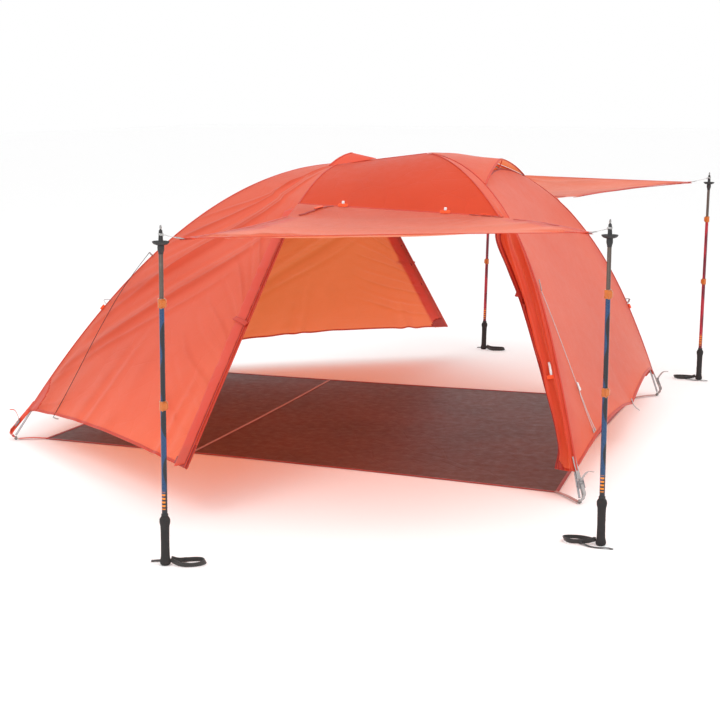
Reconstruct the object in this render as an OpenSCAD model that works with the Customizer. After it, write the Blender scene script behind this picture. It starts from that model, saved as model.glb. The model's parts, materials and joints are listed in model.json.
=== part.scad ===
// Three-season tent: a fly pitched on a hubbed pole set over a groundsheet.
// Its two side doors are held out as awnings by four upturned trekking poles.
// Origin: centre of the groundsheet's underside. +X to the head end, +Y to the far side, +Z up.

/* [Floor] */
// Length of the groundsheet
floor_l = 2286; // [2200:1:2400]
// Width of the groundsheet at the head end
floor_head_w = 1778; // [1700:1:1850]
// Width of the groundsheet at the foot end
floor_foot_w = 1626; // [1550:1:1700]
// Thickness that stands in for every layer of cloth
cloth_t = 1; // [0.8:0.1:2]

/* [Pole set] */
// Height of the fly over the head hub
head_h = 1230; // [1180:1:1280]
// Height of the fly over the foot hub
foot_h = 1180; // [1130:1:1220]
// Diameter of the tent poles
pole_d = 9; // [8:0.5:11]
// Gap from the cloth to the middle of the pole under it
pole_drop = 13; // [12:1:20]

/* [Doors] */
// Height of the awnings' outer corners
awning_h = 1040; // [1000:1:1080]

/* [Trekking poles] */
// Diameter of the upper shaft
upper_d = 18; // [17:0.5:20]
// Wall of every shaft
shaft_wall = 0.9; // [0.8:0.1:1]
// Radial play of one shaft in the next
slide_play = 0.1; // [0.05:0.01:0.1]
// Height of the lower clamp's middle
clamp_1_z = 523; // [500:1:550]
// Height of the upper clamp's middle
clamp_2_z = 848; // [820:1:870]
// Height of the pole's point
tip_z = 1090; // [1070:1:1110]

/* [Hidden] */

coral = [0.90, 0.42, 0.35];
orange = [0.96, 0.48, 0.30];
brown = [0.40, 0.23, 0.19];

// Where things stand, with the far side mirrored from the near side
head_hub = [340, 0, head_h];
foot_hub = [-50, 0, foot_h];
head_foot = [1264, -1018, 0];
foot_foot = [-1280, -880, 0];
vestibule_tip = [-30, -1650, 180];
centre = [100, 0, 300];

// Trekking poles: name order is near left, near right, far left, far right
pole_foot = [[130, -2130, 0], [1410, -1460, 0], [95, 1985, 0], [1400, 1490, 0]];
pole_lean = [0.75, -0.2, 1.2, 0.4];
awning_corner = [[158, -2022, awning_h], [1335, -1400, awning_h],
    [120, 1895, awning_h], [1318, 1473, awning_h]];
hinge_left = [-58, -515, 1000];
hinge_right = [845, -578, 1005];

function unit(v) = v / norm(v);
function lerp(a, b, t) = a + (b - a) * t;
function towards(p, c, d) = p + d * unit(c - p);
function bow(t) = 4 * t * (1 - t);

// The fly's lines over the legs. Seen from above, the foot legs run straight and the head legs bow out.
leg_end_z = 19;
leg_bow = 58;
leg_power = 2.15;
leg_drop = 0.935;
head_end = pow(1 - pow(leg_end_z / head_h, 1 / leg_drop), 1 / leg_power);
foot_end = sqrt(1 - leg_end_z / foot_h);
function head_leg(t) = [lerp(head_hub.x, head_foot.x, t) + leg_bow * pow(bow(t), 1.5), head_foot.y * t,
    head_h * pow(1 - pow(t, leg_power), leg_drop)];
function foot_leg(t) = [each lerp([foot_hub.x, 0], [foot_foot.x, foot_foot.y], t), foot_h * (1 - t * t)];

// Steps along the head legs are spaced by an angle, so that they close up where the leg turns down
function turn_of(t) = asin(pow(t, leg_power / 2));
function head_step(from, to, k) = pow(sin(lerp(turn_of(from), turn_of(to), k)), 2 / leg_power);

// Seam arches run from the hubs to the door's corners, and the free edges hang below the corners
function left_arch(t) = [lerp(foot_hub.x, -62, t), -505 * t, foot_h - 146 * t * t];
function left_edge(t) = lerp([-68, -518, 1012], vestibule_tip, t);
function left_line(t) = t < 0.28 ? left_arch(t / 0.28) : left_edge((t - 0.28) / 0.72);
right_edge = [[809, -537, 1007], [806, -576, 927], [871, -629, 809], [946, -696, 676],
    [1051, -809, 443], [1141, -905, 212], [1143, -946, 110]];
function right_arch(t) = [lerp(head_hub.x, 809, t) - 9 * bow(t), -537 * t, head_h - 223 * pow(t, 2.23)];
function along(route, t) = let (k = min(floor(t * (len(route) - 1)), len(route) - 2))
    lerp(route[k], route[k + 1], t * (len(route) - 1) - k);

// A closed sheet between a grid of points and the same grid moved towards a point
module cloth(grid, inward = centre) {
    rows = len(grid);
    cols = len(grid[0]);
    outer = [for (row = grid) each row];
    inner = [for (p = outer) towards(p, inward, cloth_t)];
    n = rows * cols;
    facing = cross(grid[1][0] - grid[0][0], grid[0][1] - grid[0][0]) * (inward - grid[0][0]) > 0;
    function turned(f) = facing ? f : [f[2], f[1], f[0]];
    cells = [for (i = [0 : rows - 2], j = [0 : cols - 2]) [i * cols + j, (i + 1) * cols + j]];
    rim = [for (j = [0 : cols - 2]) j, for (i = [0 : rows - 2]) i * cols + cols - 1,
        for (j = [cols - 1 : -1 : 1]) (rows - 1) * cols + j, for (i = [rows - 1 : -1 : 1]) i * cols];
    polyhedron(points = concat(outer, inner), faces = [
        for (c = cells) each [turned([c[1], c[0], c[0] + 1]), turned([c[1], c[0] + 1, c[1] + 1])],
        for (c = cells) each [turned([n + c[0], n + c[1], n + c[0] + 1]),
            turned([n + c[0] + 1, n + c[1], n + c[1] + 1])],
        for (k = [0 : len(rim) - 1]) let (a = rim[k], b = rim[(k + 1) % len(rim)])
            each [turned([a, n + a, n + b]), turned([a, n + b, b])]
    ]);
}

// A tube swept along points, as a closed solid with flat ends
module tube(route, d, sides = 8) {
    last = len(route) - 1;
    rings = [for (i = [0 : last]) let (
        way = unit(route[min(i + 1, last)] - route[max(i - 1, 0)]),
        side = unit(cross(way, abs(way.z) > 0.9 ? [1, 0, 0] : [0, 0, 1])),
        up = cross(side, way))
        [for (k = [0 : sides - 1])
            route[i] + d / 2 * (side * cos(360 * k / sides) + up * sin(360 * k / sides))]];
    polyhedron(points = [for (r = rings) each r], faces = [
        [for (k = [sides - 1 : -1 : 0]) k],
        for (i = [0 : last - 1], k = [0 : sides - 1]) let (a = i * sides + k, b = i * sides + (k + 1) % sides)
            each [[a, b, b + sides], [a, b + sides, a + sides]],
        [for (k = [0 : sides - 1]) last * sides + k]
    ]);
}

module far() {
    mirror([0, 1, 0]) children();
}

module both() {
    children();
    far() children();
}

// ---- Floor ----
function sagged(a, b, dip, steps = 8) = [for (i = [0 : steps - 1]) let (t = i / steps)
    lerp(a, b, t) + dip * bow(t) * unit([a.y - b.y, b.x - a.x])];

module groundsheet() {
    c = [[-floor_l / 2, -floor_foot_w / 2], [floor_l / 2, -floor_head_w / 2],
        [floor_l / 2, floor_head_w / 2], [-floor_l / 2, floor_foot_w / 2]];
    color(brown) linear_extrude(1.6)
        polygon([for (k = [0 : 3]) each sagged(c[k], c[(k + 1) % 4], 22)]);
}

strap_w = 20;
module strap(a, b, t = 1.4) {
    way = b - a;
    translate(a) rotate([0, 0, atan2(way.y, way.x)]) rotate([0, -asin(way.z / norm(way)), 0])
        translate([0, -strap_w / 2, 0]) cube([norm(way), strap_w, t]);
}

// Floor straps run from the sheet's corners over the pole tips; fly straps run down to them
module floor_strap(corner, tip) {
    foot = [tip.x, tip.y, 0];
    difference() {
        strap(corner, towards(foot, corner, -14));
        translate(foot - [0, 0, 1]) cylinder(r = 6.5, h = 4, $fn = 32);
    }
}
module corner_webbing() {
    color("lightgray") both() {
        floor_strap([floor_l / 2 + 8, -floor_head_w / 2 - 8, 0], under(head_leg(head_end)));
        strap([1238, -986, 104], [1264, -1007, 30]);
    }
    color("orangered") both() {
        floor_strap([-floor_l / 2 - 10, -floor_foot_w / 2 - 8, 0], under(foot_leg(foot_end)));
        strap([-1221, -838, 110], [-1279, -872, 32]);
    }
}

module buckle(at, turn) {
    translate(at) rotate([0, 0, turn]) rotate([0, 50, 0]) difference() {
        translate([-16, -14, 2]) cube([32, 28, 5]);
        translate([-11, -10.5, 1]) cube([7, 21, 7]);
        translate([4, -10.5, 1]) cube([7, 21, 7]);
    }
}
module corner_buckles() {
    color("gray") both() {
        buckle([1257, -1001, 70], -35);
        buckle([-1252, -856, 72], 212);
    }
}

// ---- Pole set ----
function under(p) = towards(p, centre, pole_drop);
hub_a = under(foot_hub);
hub_b = under(head_hub);

ridge_way = hub_b - hub_a;
ridge_rise = asin(ridge_way.z / norm(ridge_way));

module ridge_pole() {
    color("silver") translate(hub_a) rotate([0, 90 - ridge_rise, 0])
        translate([0, 0, 14.5]) difference() {
            cylinder(d = pole_d, h = norm(ridge_way) - 29, $fn = 32);
            translate([0, 0, -1]) cylinder(d = pole_d - 1.6, h = norm(ridge_way), $fn = 32);
        }
}

module socket(turn, rise = 0) {
    rotate([0, 90 - rise, turn]) difference() {
        translate([0, 0, 10]) cylinder(d = pole_d + 5, h = 26, $fn = 32);
        translate([0, 0, 14]) cylinder(d = pole_d + 1.6, h = 30, $fn = 32);
    }
}

// A hub's leg sockets point along the legs' first few centimetres
leg_fall = 1.2;
module hub(at, legs_at, ridge_at, rise) {
    translate(at) {
        translate([0, 0, -9]) difference() {
            cylinder(r = 14, h = 18, $fn = 48);
            translate([0, 0, 9]) rotate([0, 90 - rise, ridge_at])
                translate([0, 0, 14]) cylinder(d = pole_d + 1.6, h = 8, $fn = 32);
        }
        socket(legs_at, -leg_fall);
        socket(-legs_at, -leg_fall);
        socket(ridge_at, rise);
    }
}
brow_x = 180;
brow_top = 1172;
ridge_z = lerp(hub_a.z, hub_b.z, (brow_x - hub_a.x) / ridge_way.x);
function turn_to(way) = atan2(-way.y, way.x);
module pole_hubs() {
    color([0.85, 0.35, 0.15]) {
        hub(hub_a, turn_to(foot_leg(0.02) - foot_hub), 0, ridge_rise);
        hub(hub_b, turn_to(head_leg(0.02) - head_hub), 180, -ridge_rise);
        translate([brow_x, 0, brow_top + 7])
            cylinder(r = 10, h = ridge_z - pole_d / 2 - brow_top - 9.5, $fn = 32);
        translate([brow_x, 0, brow_top - 8]) cylinder(r = 2, h = 16, $fn = 32);
    }
}

leg_rings = 26;
hub_gap = 0.011;
module pole_legs() {
    color("silver") both() {
        tube([for (i = [0 : leg_rings])
            under(head_leg(head_step(hub_gap, head_end, i / leg_rings)))], pole_d);
        tube([for (i = [0 : leg_rings]) under(foot_leg(lerp(hub_gap, foot_end, i / leg_rings)))], pole_d);
    }
}

module pole_tips() {
    color("dimgray") both() for (p = [under(head_leg(head_end)), under(foot_leg(foot_end))]) {
        translate([p.x, p.y, 0]) cylinder(r1 = 3, r2 = 5, h = 4, $fn = 32);
        translate([p.x, p.y, 4]) cylinder(r = 5, h = 12, $fn = 32);
    }
}

brow_half = 470;
function brow_arc(y) = [brow_x, y, brow_top - 133 * pow(y / brow_half, 2)];
module brow_pole() {
    color("silver") difference() {
        union() {
            tube([for (i = [-8 : 8]) brow_arc(brow_half * i / 8)], 8);
            translate([brow_x, 0, brow_top - 6]) cylinder(r = 8, h = 12, $fn = 32);
        }
        translate([brow_x, 0, brow_top - 12]) cylinder(r = 2.06, h = 24, $fn = 32);
    }
}

// ---- Fly ----
rows = 12;
edge_gap = 0.006;
end_out = 50;
hem_lift = 55;
mid_lift = 45;
// A point on an end panel, a share k of the way down it and v across it, where p is its near edge at k.
// Each is pulled out at the middle of its hem, and the head panel's top edge rises in the middle.
function end_point(p, pull, crown, k, v) = [
    p.x + pull * bow(v) * (k * k - 0.6 * bow(k)) - 0.75 * crown * bow(v) * pow(1 - k, 4),
    lerp(p.y, -p.y, v),
    p.z + pow(k, 6) * (hem_lift * bow(2 * v - floor(2 * v)) + mid_lift * bow(v))
        + crown * bow(v) * pow(1 - k, 4)];
module end_panel(leg_points, pull, crown = 0) {
    last = len(leg_points) - 1;
    cloth([for (i = [0 : last]) [for (j = [0 : 8])
        end_point(leg_points[i], pull, crown, i / last, lerp(edge_gap, 1 - edge_gap, j / 8))]]);
}
vent_at = 0.335;
head_hem = 0.959;
vent_rise = 47;
module head_panel() {
    color(coral) end_panel([for (i = [0 : rows]) head_leg(head_step(vent_at, head_hem, i / rows))],
        end_out, vent_rise);
}
module foot_panel() {
    color(coral) end_panel([for (i = [0 : rows]) foot_leg(lerp(0.05, 0.947, i / rows))], -end_out);
}

// The roof between the ridge and the door's seam, one on each side
module near_roof() {
    color(coral) cloth([for (i = [0 : 6]) let (v = lerp(0.012, 1, i / 6))
        [for (j = [0 : 6]) lerp(left_arch(v) + [2, 0, 0], right_arch(v) - [2, 0, 0], j / 6)]]);
}
module far_roof() {
    far() near_roof();
}

module near_foot_side() {
    color(coral) cloth([for (i = [0 : rows])
        let (t = lerp(0.02, 0.943, i / rows), s = lerp(0.02, 1, i / rows))
        [for (j = [0 : 6]) lerp(foot_leg(t) + [3, -1, 0], left_line(s) - [3, 0, 0], j / 6)
            + [0, 0, 14 * bow(j / 6) * pow(i / rows, 4)]]]);
}
module far_foot_side() {
    far() near_foot_side();
}

// The narrow panel beside the head leg starts under the hood and widens to the door's right corner
corner_row = 5;
corner_at = 0.47;
function band_leg(i) = i < corner_row ? head_leg(lerp(0.08, corner_at, i / corner_row))
    : head_leg(head_step(corner_at, 0.962, (i - corner_row) / rows));
function band_edge(i) = i < corner_row ? right_arch(lerp(0.13, 1, i / corner_row)) + [2, 0, 0]
    : along(right_edge, (i - corner_row) / rows);
module near_head_side() {
    color(coral) cloth([for (i = [0 : corner_row + rows])
        [for (j = [0 : 3]) lerp(band_leg(i) - [2, 9, 0], band_edge(i), j / 3)]], [1000, 7000, -6500]);
}
module far_head_side() {
    far() near_head_side();
}

// Vent hoods: a small roof that stands off the fly over each hub
hood_tip = [678, 0, 1211];
hood_foot = [697, -344, 1126];
module head_hood() {
    color(coral) cloth([for (i = [0 : 5]) let (k = lerp(0.1, 1, i / 5))
        [for (j = [-3 : 3]) let (a = abs(j) / 3, rim = lerp(hood_tip, hood_foot, a) + [0, 0, 10 * bow(a)])
            lerp(head_hub, [rim.x, j < 0 ? rim.y : -rim.y, rim.z], k) + [0, 0, 6 + 30 * a * bow(k)]]]);
}
module foot_hood() {
    color(coral) cloth([for (i = [0 : 2]) let (k = lerp(0.2, 1, i / 2))
        [for (j = [-2 : 2]) let (a = abs(j) / 2)
            lerp([110, 0, 1212], [lerp(0, -92, a), sign(j) * 110 * a, lerp(1227, 1176, a)], k) + [0, 0, 4]]]);
}

strut_foot = [671, 0, 1175];
strut_top = [682, 0, 1206];
module head_strut() {
    color(orange) {
        tube([strut_foot, strut_top], 5);
        translate(strut_foot - [0, 9, 0]) rotate([-90, 0, 0]) cylinder(r = 3.5, h = 18, $fn = 32);
    }
}

// ---- Doors, held out as awnings ----
module door(left, right, corner_left, corner_right) {
    cloth([for (i = [0 : 6]) let (k = i / 6)
        [for (j = [0 : 6]) let (v = j / 6) lerp(lerp(left, right, v), lerp(corner_left, corner_right, v), k)
            - [0, 0, 26 * bow(k) + 14 * bow(v) * bow(k)]
            - [0, sign(corner_left.y) * 34 * bow(v) * k * k, 0]]], [500, 0, -9000]);
}
door_gap = [0, -6, 0];
module near_door() {
    color(coral) door(hinge_left + door_gap, hinge_right + door_gap, awning_corner[0], awning_corner[1]);
}
module far_door() {
    color(orange) door(far_of(hinge_left + door_gap), far_of(hinge_right + door_gap),
        awning_corner[2], awning_corner[3]);
}
function far_of(p) = [p.x, -p.y, p.z];

// Each outer corner has a sewn hook; a cord runs from the hook to the trekking pole
function pole_at(k, z) = pole_foot[k] + z * [sin(pole_lean[k]), 0, cos(pole_lean[k])];
cord_z = 1062;
hook_l = 26;
function hook_end(k) = towards(awning_corner[k], pole_at(k, cord_z), hook_l);
module hook(k) {
    way = hook_end(k) - awning_corner[k];
    translate(awning_corner[k]) rotate([0, 0, atan2(way.y, way.x)]) rotate([0, -asin(way.z / hook_l), 0])
        translate([1.5, -9, -2]) cube([hook_l - 1.5, 18, 4]);
}
module near_hooks() {
    color("lightgray") for (k = [0, 1]) hook(k);
}
module far_hooks() {
    color("lightgray") for (k = [2, 3]) hook(k);
}
cord_d = 2.5;
loop_reach = 33;
module awning_cord(k) {
    start = hook_end(k);
    stop = towards(pole_at(k, cord_z), awning_corner[k], loop_reach);
    color("white") tube([for (i = [0 : 6]) lerp(start, stop, i / 6)], cord_d);
}

// ---- Guylines ----
// The head guyline lies over the head panel, from near the leg to the hem
guy_rings = 20;
function guy_at(k) = let (down = lerp(0.41, 0.95, k))
    end_point(head_leg(head_step(vent_at, head_hem, down)), end_out, vent_rise, down,
        0.015 + 0.125 * (1 - pow(1 - k, 2))) + [6, 0, 3];
module head_guyline() {
    color("white") tube([for (i = [0 : guy_rings]) guy_at(i / guy_rings)], cord_d);
}
foot_guy_route = [[-764, -520, 806], [-812, -572, 724], [-848, -644, 636], [-878, -720, 538],
    [-903, -796, 440], [-927, -872, 338], [-950, -944, 244], [-978, -1006, 154]];
module foot_guyline() {
    color("black") tube(foot_guy_route, cord_d);
}

// ---- Trekking poles ----
module on_pole(k) {
    translate(pole_foot[k] + [0, 0, 1.2]) rotate([0, pole_lean[k], 0]) children();
}

middle_d = upper_d - 2 * shaft_wall - 2 * slide_play;
lower_d = middle_d - 2 * shaft_wall - 2 * slide_play;
middle_low = 300;
lower_low = 532;
ferrule_z = 1000;
clamp_h = 29;
clamp_r = 14;
grip_bore = upper_d / 2 + 0.05;

module shaft(d, low, high) {
    translate([0, 0, low]) difference() {
        cylinder(d = d, h = high - low, $fn = 48);
        translate([0, 0, -1]) cylinder(d = d - 2 * shaft_wall, h = high - low + 2, $fn = 48);
    }
}

module pole_grips() {
    color([0.13, 0.12, 0.12]) for (k = [0 : 3]) on_pole(k) rotate_extrude($fn = 48)
        polygon([[0, 0], [14, 0], [17.5, 3], [18, 9], [15.5, 20], [14, 40], [13.6, 80], [15, 110],
            [17.5, 138], [17.5, 150], [14, 160], [11, 163], [grip_bore, 163], [grip_bore, 8], [0, 8]]);
}

// Wrist straps lie beside the grips; one number for each pole says which way
strap_turn = [20, 175, -5, 180];
loop_l = 95;
module pole_straps() {
    color([0.16, 0.15, 0.15]) for (k = [0 : 3]) translate(pole_foot[k]) rotate([0, 0, strap_turn[k]])
        translate([20, 0, 0]) {
            difference() {
                translate([loop_l / 2 + 2, 0, 0]) strap_loop(loop_l, 24, 11);
                translate([loop_l / 2 + 2, 0, -1]) strap_loop(loop_l - 5, 21.5, 15);
            }
            translate([-30, 25.2, 0]) cube([100, 1.8, 10]);
        }
}
module strap_loop(l, r, h) {
    linear_extrude(h) union() {
        square([l - 2 * r, 2 * r], center = true);
        for (s = [-1, 1]) translate([s * (l / 2 - r), 0]) circle(r, $fn = 48);
    }
}

// A lever clamp: a collar with two ears that hold the lever's pin
pin_x = clamp_r + 3.2;
module clamp(d, z) {
    translate([0, 0, z - clamp_h / 2]) {
        difference() {
            cylinder(r = clamp_r - 2, h = clamp_h, $fn = 48);
            translate([0, 0, -1]) cylinder(d = d + 0.1, h = clamp_h + 2, $fn = 48);
        }
        for (h = [0, clamp_h - 4]) translate([0, 0, h]) difference() {
            translate([clamp_r - 3, -3.2, 0]) cube([6.2, 6.4, 4]);
            translate([0, 0, -1]) cylinder(r = clamp_r - 2.5, h = 6, $fn = 48);
        }
        translate([pin_x, 0, 0]) cylinder(r = 3.2, h = 4, $fn = 32);
        translate([pin_x, 0, clamp_h - 4]) cylinder(r = 3.2, h = 4, $fn = 32);
        translate([pin_x, 0, 2]) cylinder(r = 1.2, h = clamp_h - 4, $fn = 32);
    }
}
lever_h = clamp_h - 9;
lever_r = clamp_r - 0.8;
lever_t = 2.6;
function on_circle(r, a) = [r * cos(a), r * sin(a)];
// The lever hugs the collar from its knuckle on round to its free end
module lever(z) {
    color([0.95, 0.55, 0.05]) translate([0, 0, z - lever_h / 2]) difference() {
        union() {
            translate([pin_x, 0, 0]) cylinder(r = 3, h = lever_h, $fn = 32);
            linear_extrude(lever_h) polygon([[pin_x + 1.4, 1],
                for (a = [18 : 8 : 154]) on_circle(lever_r + lever_t, a),
                for (a = [154 : -8 : 18]) on_circle(lever_r, a),
                [pin_x - 2, -0.6]]);
        }
        translate([pin_x, 0, -1]) cylinder(r = 1.25, h = lever_h + 2, $fn = 32);
    }
}
clamp_turn = [-70, -70, 110, 110];
module upper_clamps() {
    color([0.95, 0.55, 0.05]) for (k = [0 : 3])
        on_pole(k) rotate([0, 0, clamp_turn[k]]) clamp(upper_d, clamp_1_z);
}

shaft_color = [[0.10, 0.30, 0.50], [0.10, 0.30, 0.50], [0.70, 0.10, 0.20], [0.70, 0.10, 0.20]];
module upper_shaft(k) {
    color(shaft_color[k]) on_pole(k) shaft(upper_d, 8.1, clamp_1_z + clamp_h / 2);
}
module middle_shaft(k) {
    color(shaft_color[k]) on_pole(k) shaft(middle_d, middle_low, clamp_2_z + clamp_h / 2);
}
module lower_shaft(k) {
    color("gray") on_pole(k) shaft(lower_d, lower_low, ferrule_z);
}
module lower_clamp(k) {
    color([0.95, 0.55, 0.05]) on_pole(k) rotate([0, 0, clamp_turn[k]]) clamp(middle_d, clamp_2_z);
}
module lever_1(k) {
    on_pole(k) rotate([0, 0, clamp_turn[k]]) lever(clamp_1_z);
}
module lever_2(k) {
    on_pole(k) rotate([0, 0, clamp_turn[k]]) lever(clamp_2_z);
}
module basket(k) {
    color([0.15, 0.15, 0.15]) on_pole(k) rotate_extrude($fn = 48)
        polygon([[0, ferrule_z], [lower_d / 2 + 0.6, ferrule_z], [9, 1008], [11, 1024], [20, 1030],
            [27, 1036], [27, 1038], [14, 1036], [8.5, 1040], [6, 1072], [4.4, 1074], [4.4, 1084],
            [3, tip_z], [0, tip_z]]);
}

groundsheet();
corner_webbing();
corner_buckles();
ridge_pole();
pole_hubs();
pole_legs();
pole_tips();
brow_pole();
foot_panel();
head_panel();
near_roof();
far_roof();
near_foot_side();
far_foot_side();
near_head_side();
far_head_side();
head_hood();
foot_hood();
head_strut();
near_door();
far_door();
near_hooks();
far_hooks();
awning_cord(0);  // near_left_cord
awning_cord(1);  // near_right_cord
awning_cord(2);  // far_left_cord
awning_cord(3);  // far_right_cord
head_guyline();
foot_guyline();
pole_grips();
pole_straps();
upper_clamps();
upper_shaft(0);  // near_left_upper
upper_shaft(1);  // near_right_upper
upper_shaft(2);  // far_left_upper
upper_shaft(3);  // far_right_upper
middle_shaft(0);  // near_left_middle
middle_shaft(1);  // near_right_middle
middle_shaft(2);  // far_left_middle
middle_shaft(3);  // far_right_middle
lower_shaft(0);  // near_left_lower
lower_shaft(1);  // near_right_lower
lower_shaft(2);  // far_left_lower
lower_shaft(3);  // far_right_lower
lower_clamp(0);  // near_left_clamp
lower_clamp(1);  // near_right_clamp
lower_clamp(2);  // far_left_clamp
lower_clamp(3);  // far_right_clamp
basket(0);  // near_left_basket
basket(1);  // near_right_basket
basket(2);  // far_left_basket
basket(3);  // far_right_basket
lever_1(0);  // near_left_lever_1
lever_1(1);  // near_right_lever_1
lever_1(2);  // far_left_lever_1
lever_1(3);  // far_right_lever_1
lever_2(0);  // near_left_lever_2
lever_2(1);  // near_right_lever_2
lever_2(2);  // far_left_lever_2
lever_2(3);  // far_right_lever_2
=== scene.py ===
import json
import math

import bpy
import numpy as np
from mathutils import Matrix, Vector

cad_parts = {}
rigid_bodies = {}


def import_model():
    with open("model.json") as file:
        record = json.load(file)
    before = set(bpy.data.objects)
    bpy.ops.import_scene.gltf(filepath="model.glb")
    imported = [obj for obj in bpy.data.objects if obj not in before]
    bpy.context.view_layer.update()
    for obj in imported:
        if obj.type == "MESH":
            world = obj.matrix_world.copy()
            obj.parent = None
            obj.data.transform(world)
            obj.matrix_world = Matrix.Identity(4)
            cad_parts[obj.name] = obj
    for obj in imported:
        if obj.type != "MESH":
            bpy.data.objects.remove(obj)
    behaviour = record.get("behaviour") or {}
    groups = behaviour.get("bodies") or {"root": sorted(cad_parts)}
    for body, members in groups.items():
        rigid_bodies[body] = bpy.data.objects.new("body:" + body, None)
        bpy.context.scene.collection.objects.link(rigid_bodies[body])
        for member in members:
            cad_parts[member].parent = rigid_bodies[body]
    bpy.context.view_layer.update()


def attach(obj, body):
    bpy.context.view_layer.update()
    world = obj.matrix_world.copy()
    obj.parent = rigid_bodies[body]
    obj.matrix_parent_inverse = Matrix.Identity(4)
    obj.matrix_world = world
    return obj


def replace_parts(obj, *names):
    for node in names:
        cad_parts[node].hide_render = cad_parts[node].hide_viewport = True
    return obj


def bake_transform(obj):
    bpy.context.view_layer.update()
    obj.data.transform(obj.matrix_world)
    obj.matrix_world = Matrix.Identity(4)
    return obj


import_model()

# ---------------------------------------------------------------- places, in metres, as in the CAD
HEAD_H = 1.230
FOOT_H = 1.180
HEAD_HUB = np.array([0.340, 0.0, HEAD_H])
FOOT_HUB = np.array([-0.050, 0.0, FOOT_H])
HEAD_FOOT = np.array([1.264, -1.018, 0.0])
FOOT_FOOT = np.array([-1.280, -0.880, 0.0])
VESTIBULE_TIP = np.array([-0.030, -1.650, 0.180])
CENTRE = np.array([0.100, 0.0, 0.300])
FLOOR_L, FLOOR_HEAD_W, FLOOR_FOOT_W = 2.286, 1.778, 1.626
POLES = ["near_left", "near_right", "far_left", "far_right"]
POLE_FOOT = np.array([[0.130, -2.130, 0], [1.410, -1.460, 0], [0.095, 1.985, 0], [1.400, 1.490, 0]])
POLE_LEAN = [0.75, -0.2, 1.2, 0.4]
POLE_RAISED = 0.0012
CORNERS = np.array([[0.158, -2.022, 1.040], [1.335, -1.400, 1.040],
                    [0.120, 1.895, 1.040], [1.318, 1.473, 1.040]])
HINGE_LEFT = np.array([-0.058, -0.515, 1.000])
HINGE_RIGHT = np.array([0.845, -0.578, 1.005])
CORD_Z = 1.062
HOOK_L = 0.026
LOOP_REACH = 0.033
CORD_D = 0.0025
NEAR, MIRROR = np.ones(3), np.array([1.0, -1.0, 1.0])
SIDES = (("near", NEAR), ("far", MIRROR))


def unit(v):
    return v / np.linalg.norm(v)


def units(v):
    """Every vector of a route or a grid at length 1."""
    return v / np.maximum(np.linalg.norm(v, axis=-1, keepdims=True), 1e-9)


def lerp(a, b, t):
    return a + (b - a) * t


def bow(t):
    return 4 * t * (1 - t)


def smooth(t):
    t = np.clip(t, 0, 1)
    return t * t * (3 - 2 * t)


def pole_at(k, z):
    lean = math.radians(POLE_LEAN[k])
    return POLE_FOOT[k] + z * np.array([math.sin(lean), 0, math.cos(lean)])


# ---------------------------------------------------------------- camera
camera_data = bpy.data.cameras.new("camera")
camera_data.lens = 70
camera_data.sensor_width = 36
camera_data.clip_end = 200
camera = bpy.data.objects.new("camera", camera_data)
camera.location = (2.171, -5.962, 1.482)
camera.rotation_euler = (math.pi / 2 - 0.187, 0, 0.345)
bpy.context.scene.collection.objects.link(camera)
bpy.context.scene.camera = camera


# ---------------------------------------------------------------- node helpers
class Nodes:
    """A short way to write one material's nodes."""

    def __init__(self, name):
        self.material = bpy.data.materials.new(name)
        self.material.use_nodes = True
        self.tree = self.material.node_tree
        self.shader = self.tree.nodes["Principled BSDF"]
        self.output = self.tree.nodes["Material Output"]

    def add(self, kind, settings=None, **inputs):
        n = self.tree.nodes.new(kind)
        for key, value in (settings or {}).items():
            setattr(n, key, value)
        for key, value in inputs.items():
            self.put(n, key.replace("_", " ") if key.replace("_", " ") in n.inputs else key, value)
        return n

    def put(self, n, key, value):
        socket = n.inputs[key]
        if isinstance(value, bpy.types.NodeSocket):
            self.tree.links.new(value, socket)
        else:
            socket.default_value = value

    def math(self, kind, a, b=0.0, c=0.0):
        n = self.tree.nodes.new("ShaderNodeMath")
        n.operation = kind
        for i, value in enumerate((a, b, c)):
            self.put(n, i, value)
        return n.outputs[0]

    def ramp(self, value, low, high, to_low=0.0, to_high=1.0):
        n = self.add("ShaderNodeMapRange", {"clamp": True}, Value=value)
        for key, v in (("From Min", low), ("From Max", high), ("To Min", to_low), ("To Max", to_high)):
            n.inputs[key].default_value = v
        return n.outputs[0]

    def blend(self, factor, a, b):
        n = self.add("ShaderNodeMix", {"data_type": "RGBA"})
        self.put(n, 0, factor)
        self.put(n, 6, a)
        self.put(n, 7, b)
        return n.outputs[2]

    def coordinates(self, kind="Object"):
        return self.add("ShaderNodeTexCoord").outputs[kind]

    def noise(self, where, scale, detail=4.0, roughness=0.5):
        n = self.add("ShaderNodeTexNoise")
        self.put(n, "Vector", where)
        for key, v in (("Scale", scale), ("Detail", detail), ("Roughness", roughness)):
            n.inputs[key].default_value = v
        return n.outputs[0]

    def bump(self, height, distance, strength=1.0, under=None):
        n = self.add("ShaderNodeBump", Height=height)
        n.inputs["Distance"].default_value = distance
        n.inputs["Strength"].default_value = strength
        if under is not None:
            self.put(n, "Normal", under)
        return n.outputs[0]

    def stripes(self, value, period, share):
        """1 inside thin lines that repeat each period, and 0 between them."""
        part = self.math("FRACT", self.math("DIVIDE", value, period))
        return self.ramp(self.math("ABSOLUTE", self.math("SUBTRACT", part, 0.5)), share / 2, share, 1.0, 0.0)


def rgb(r, g, b):
    """A colour given as it looks on a screen, from 0 to 255, as linear light."""
    def one(c):
        c = c / 255
        return c / 12.92 if c <= 0.04045 else ((c + 0.055) / 1.055) ** 2.4
    return (one(r), one(g), one(b), 1.0)


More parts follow.
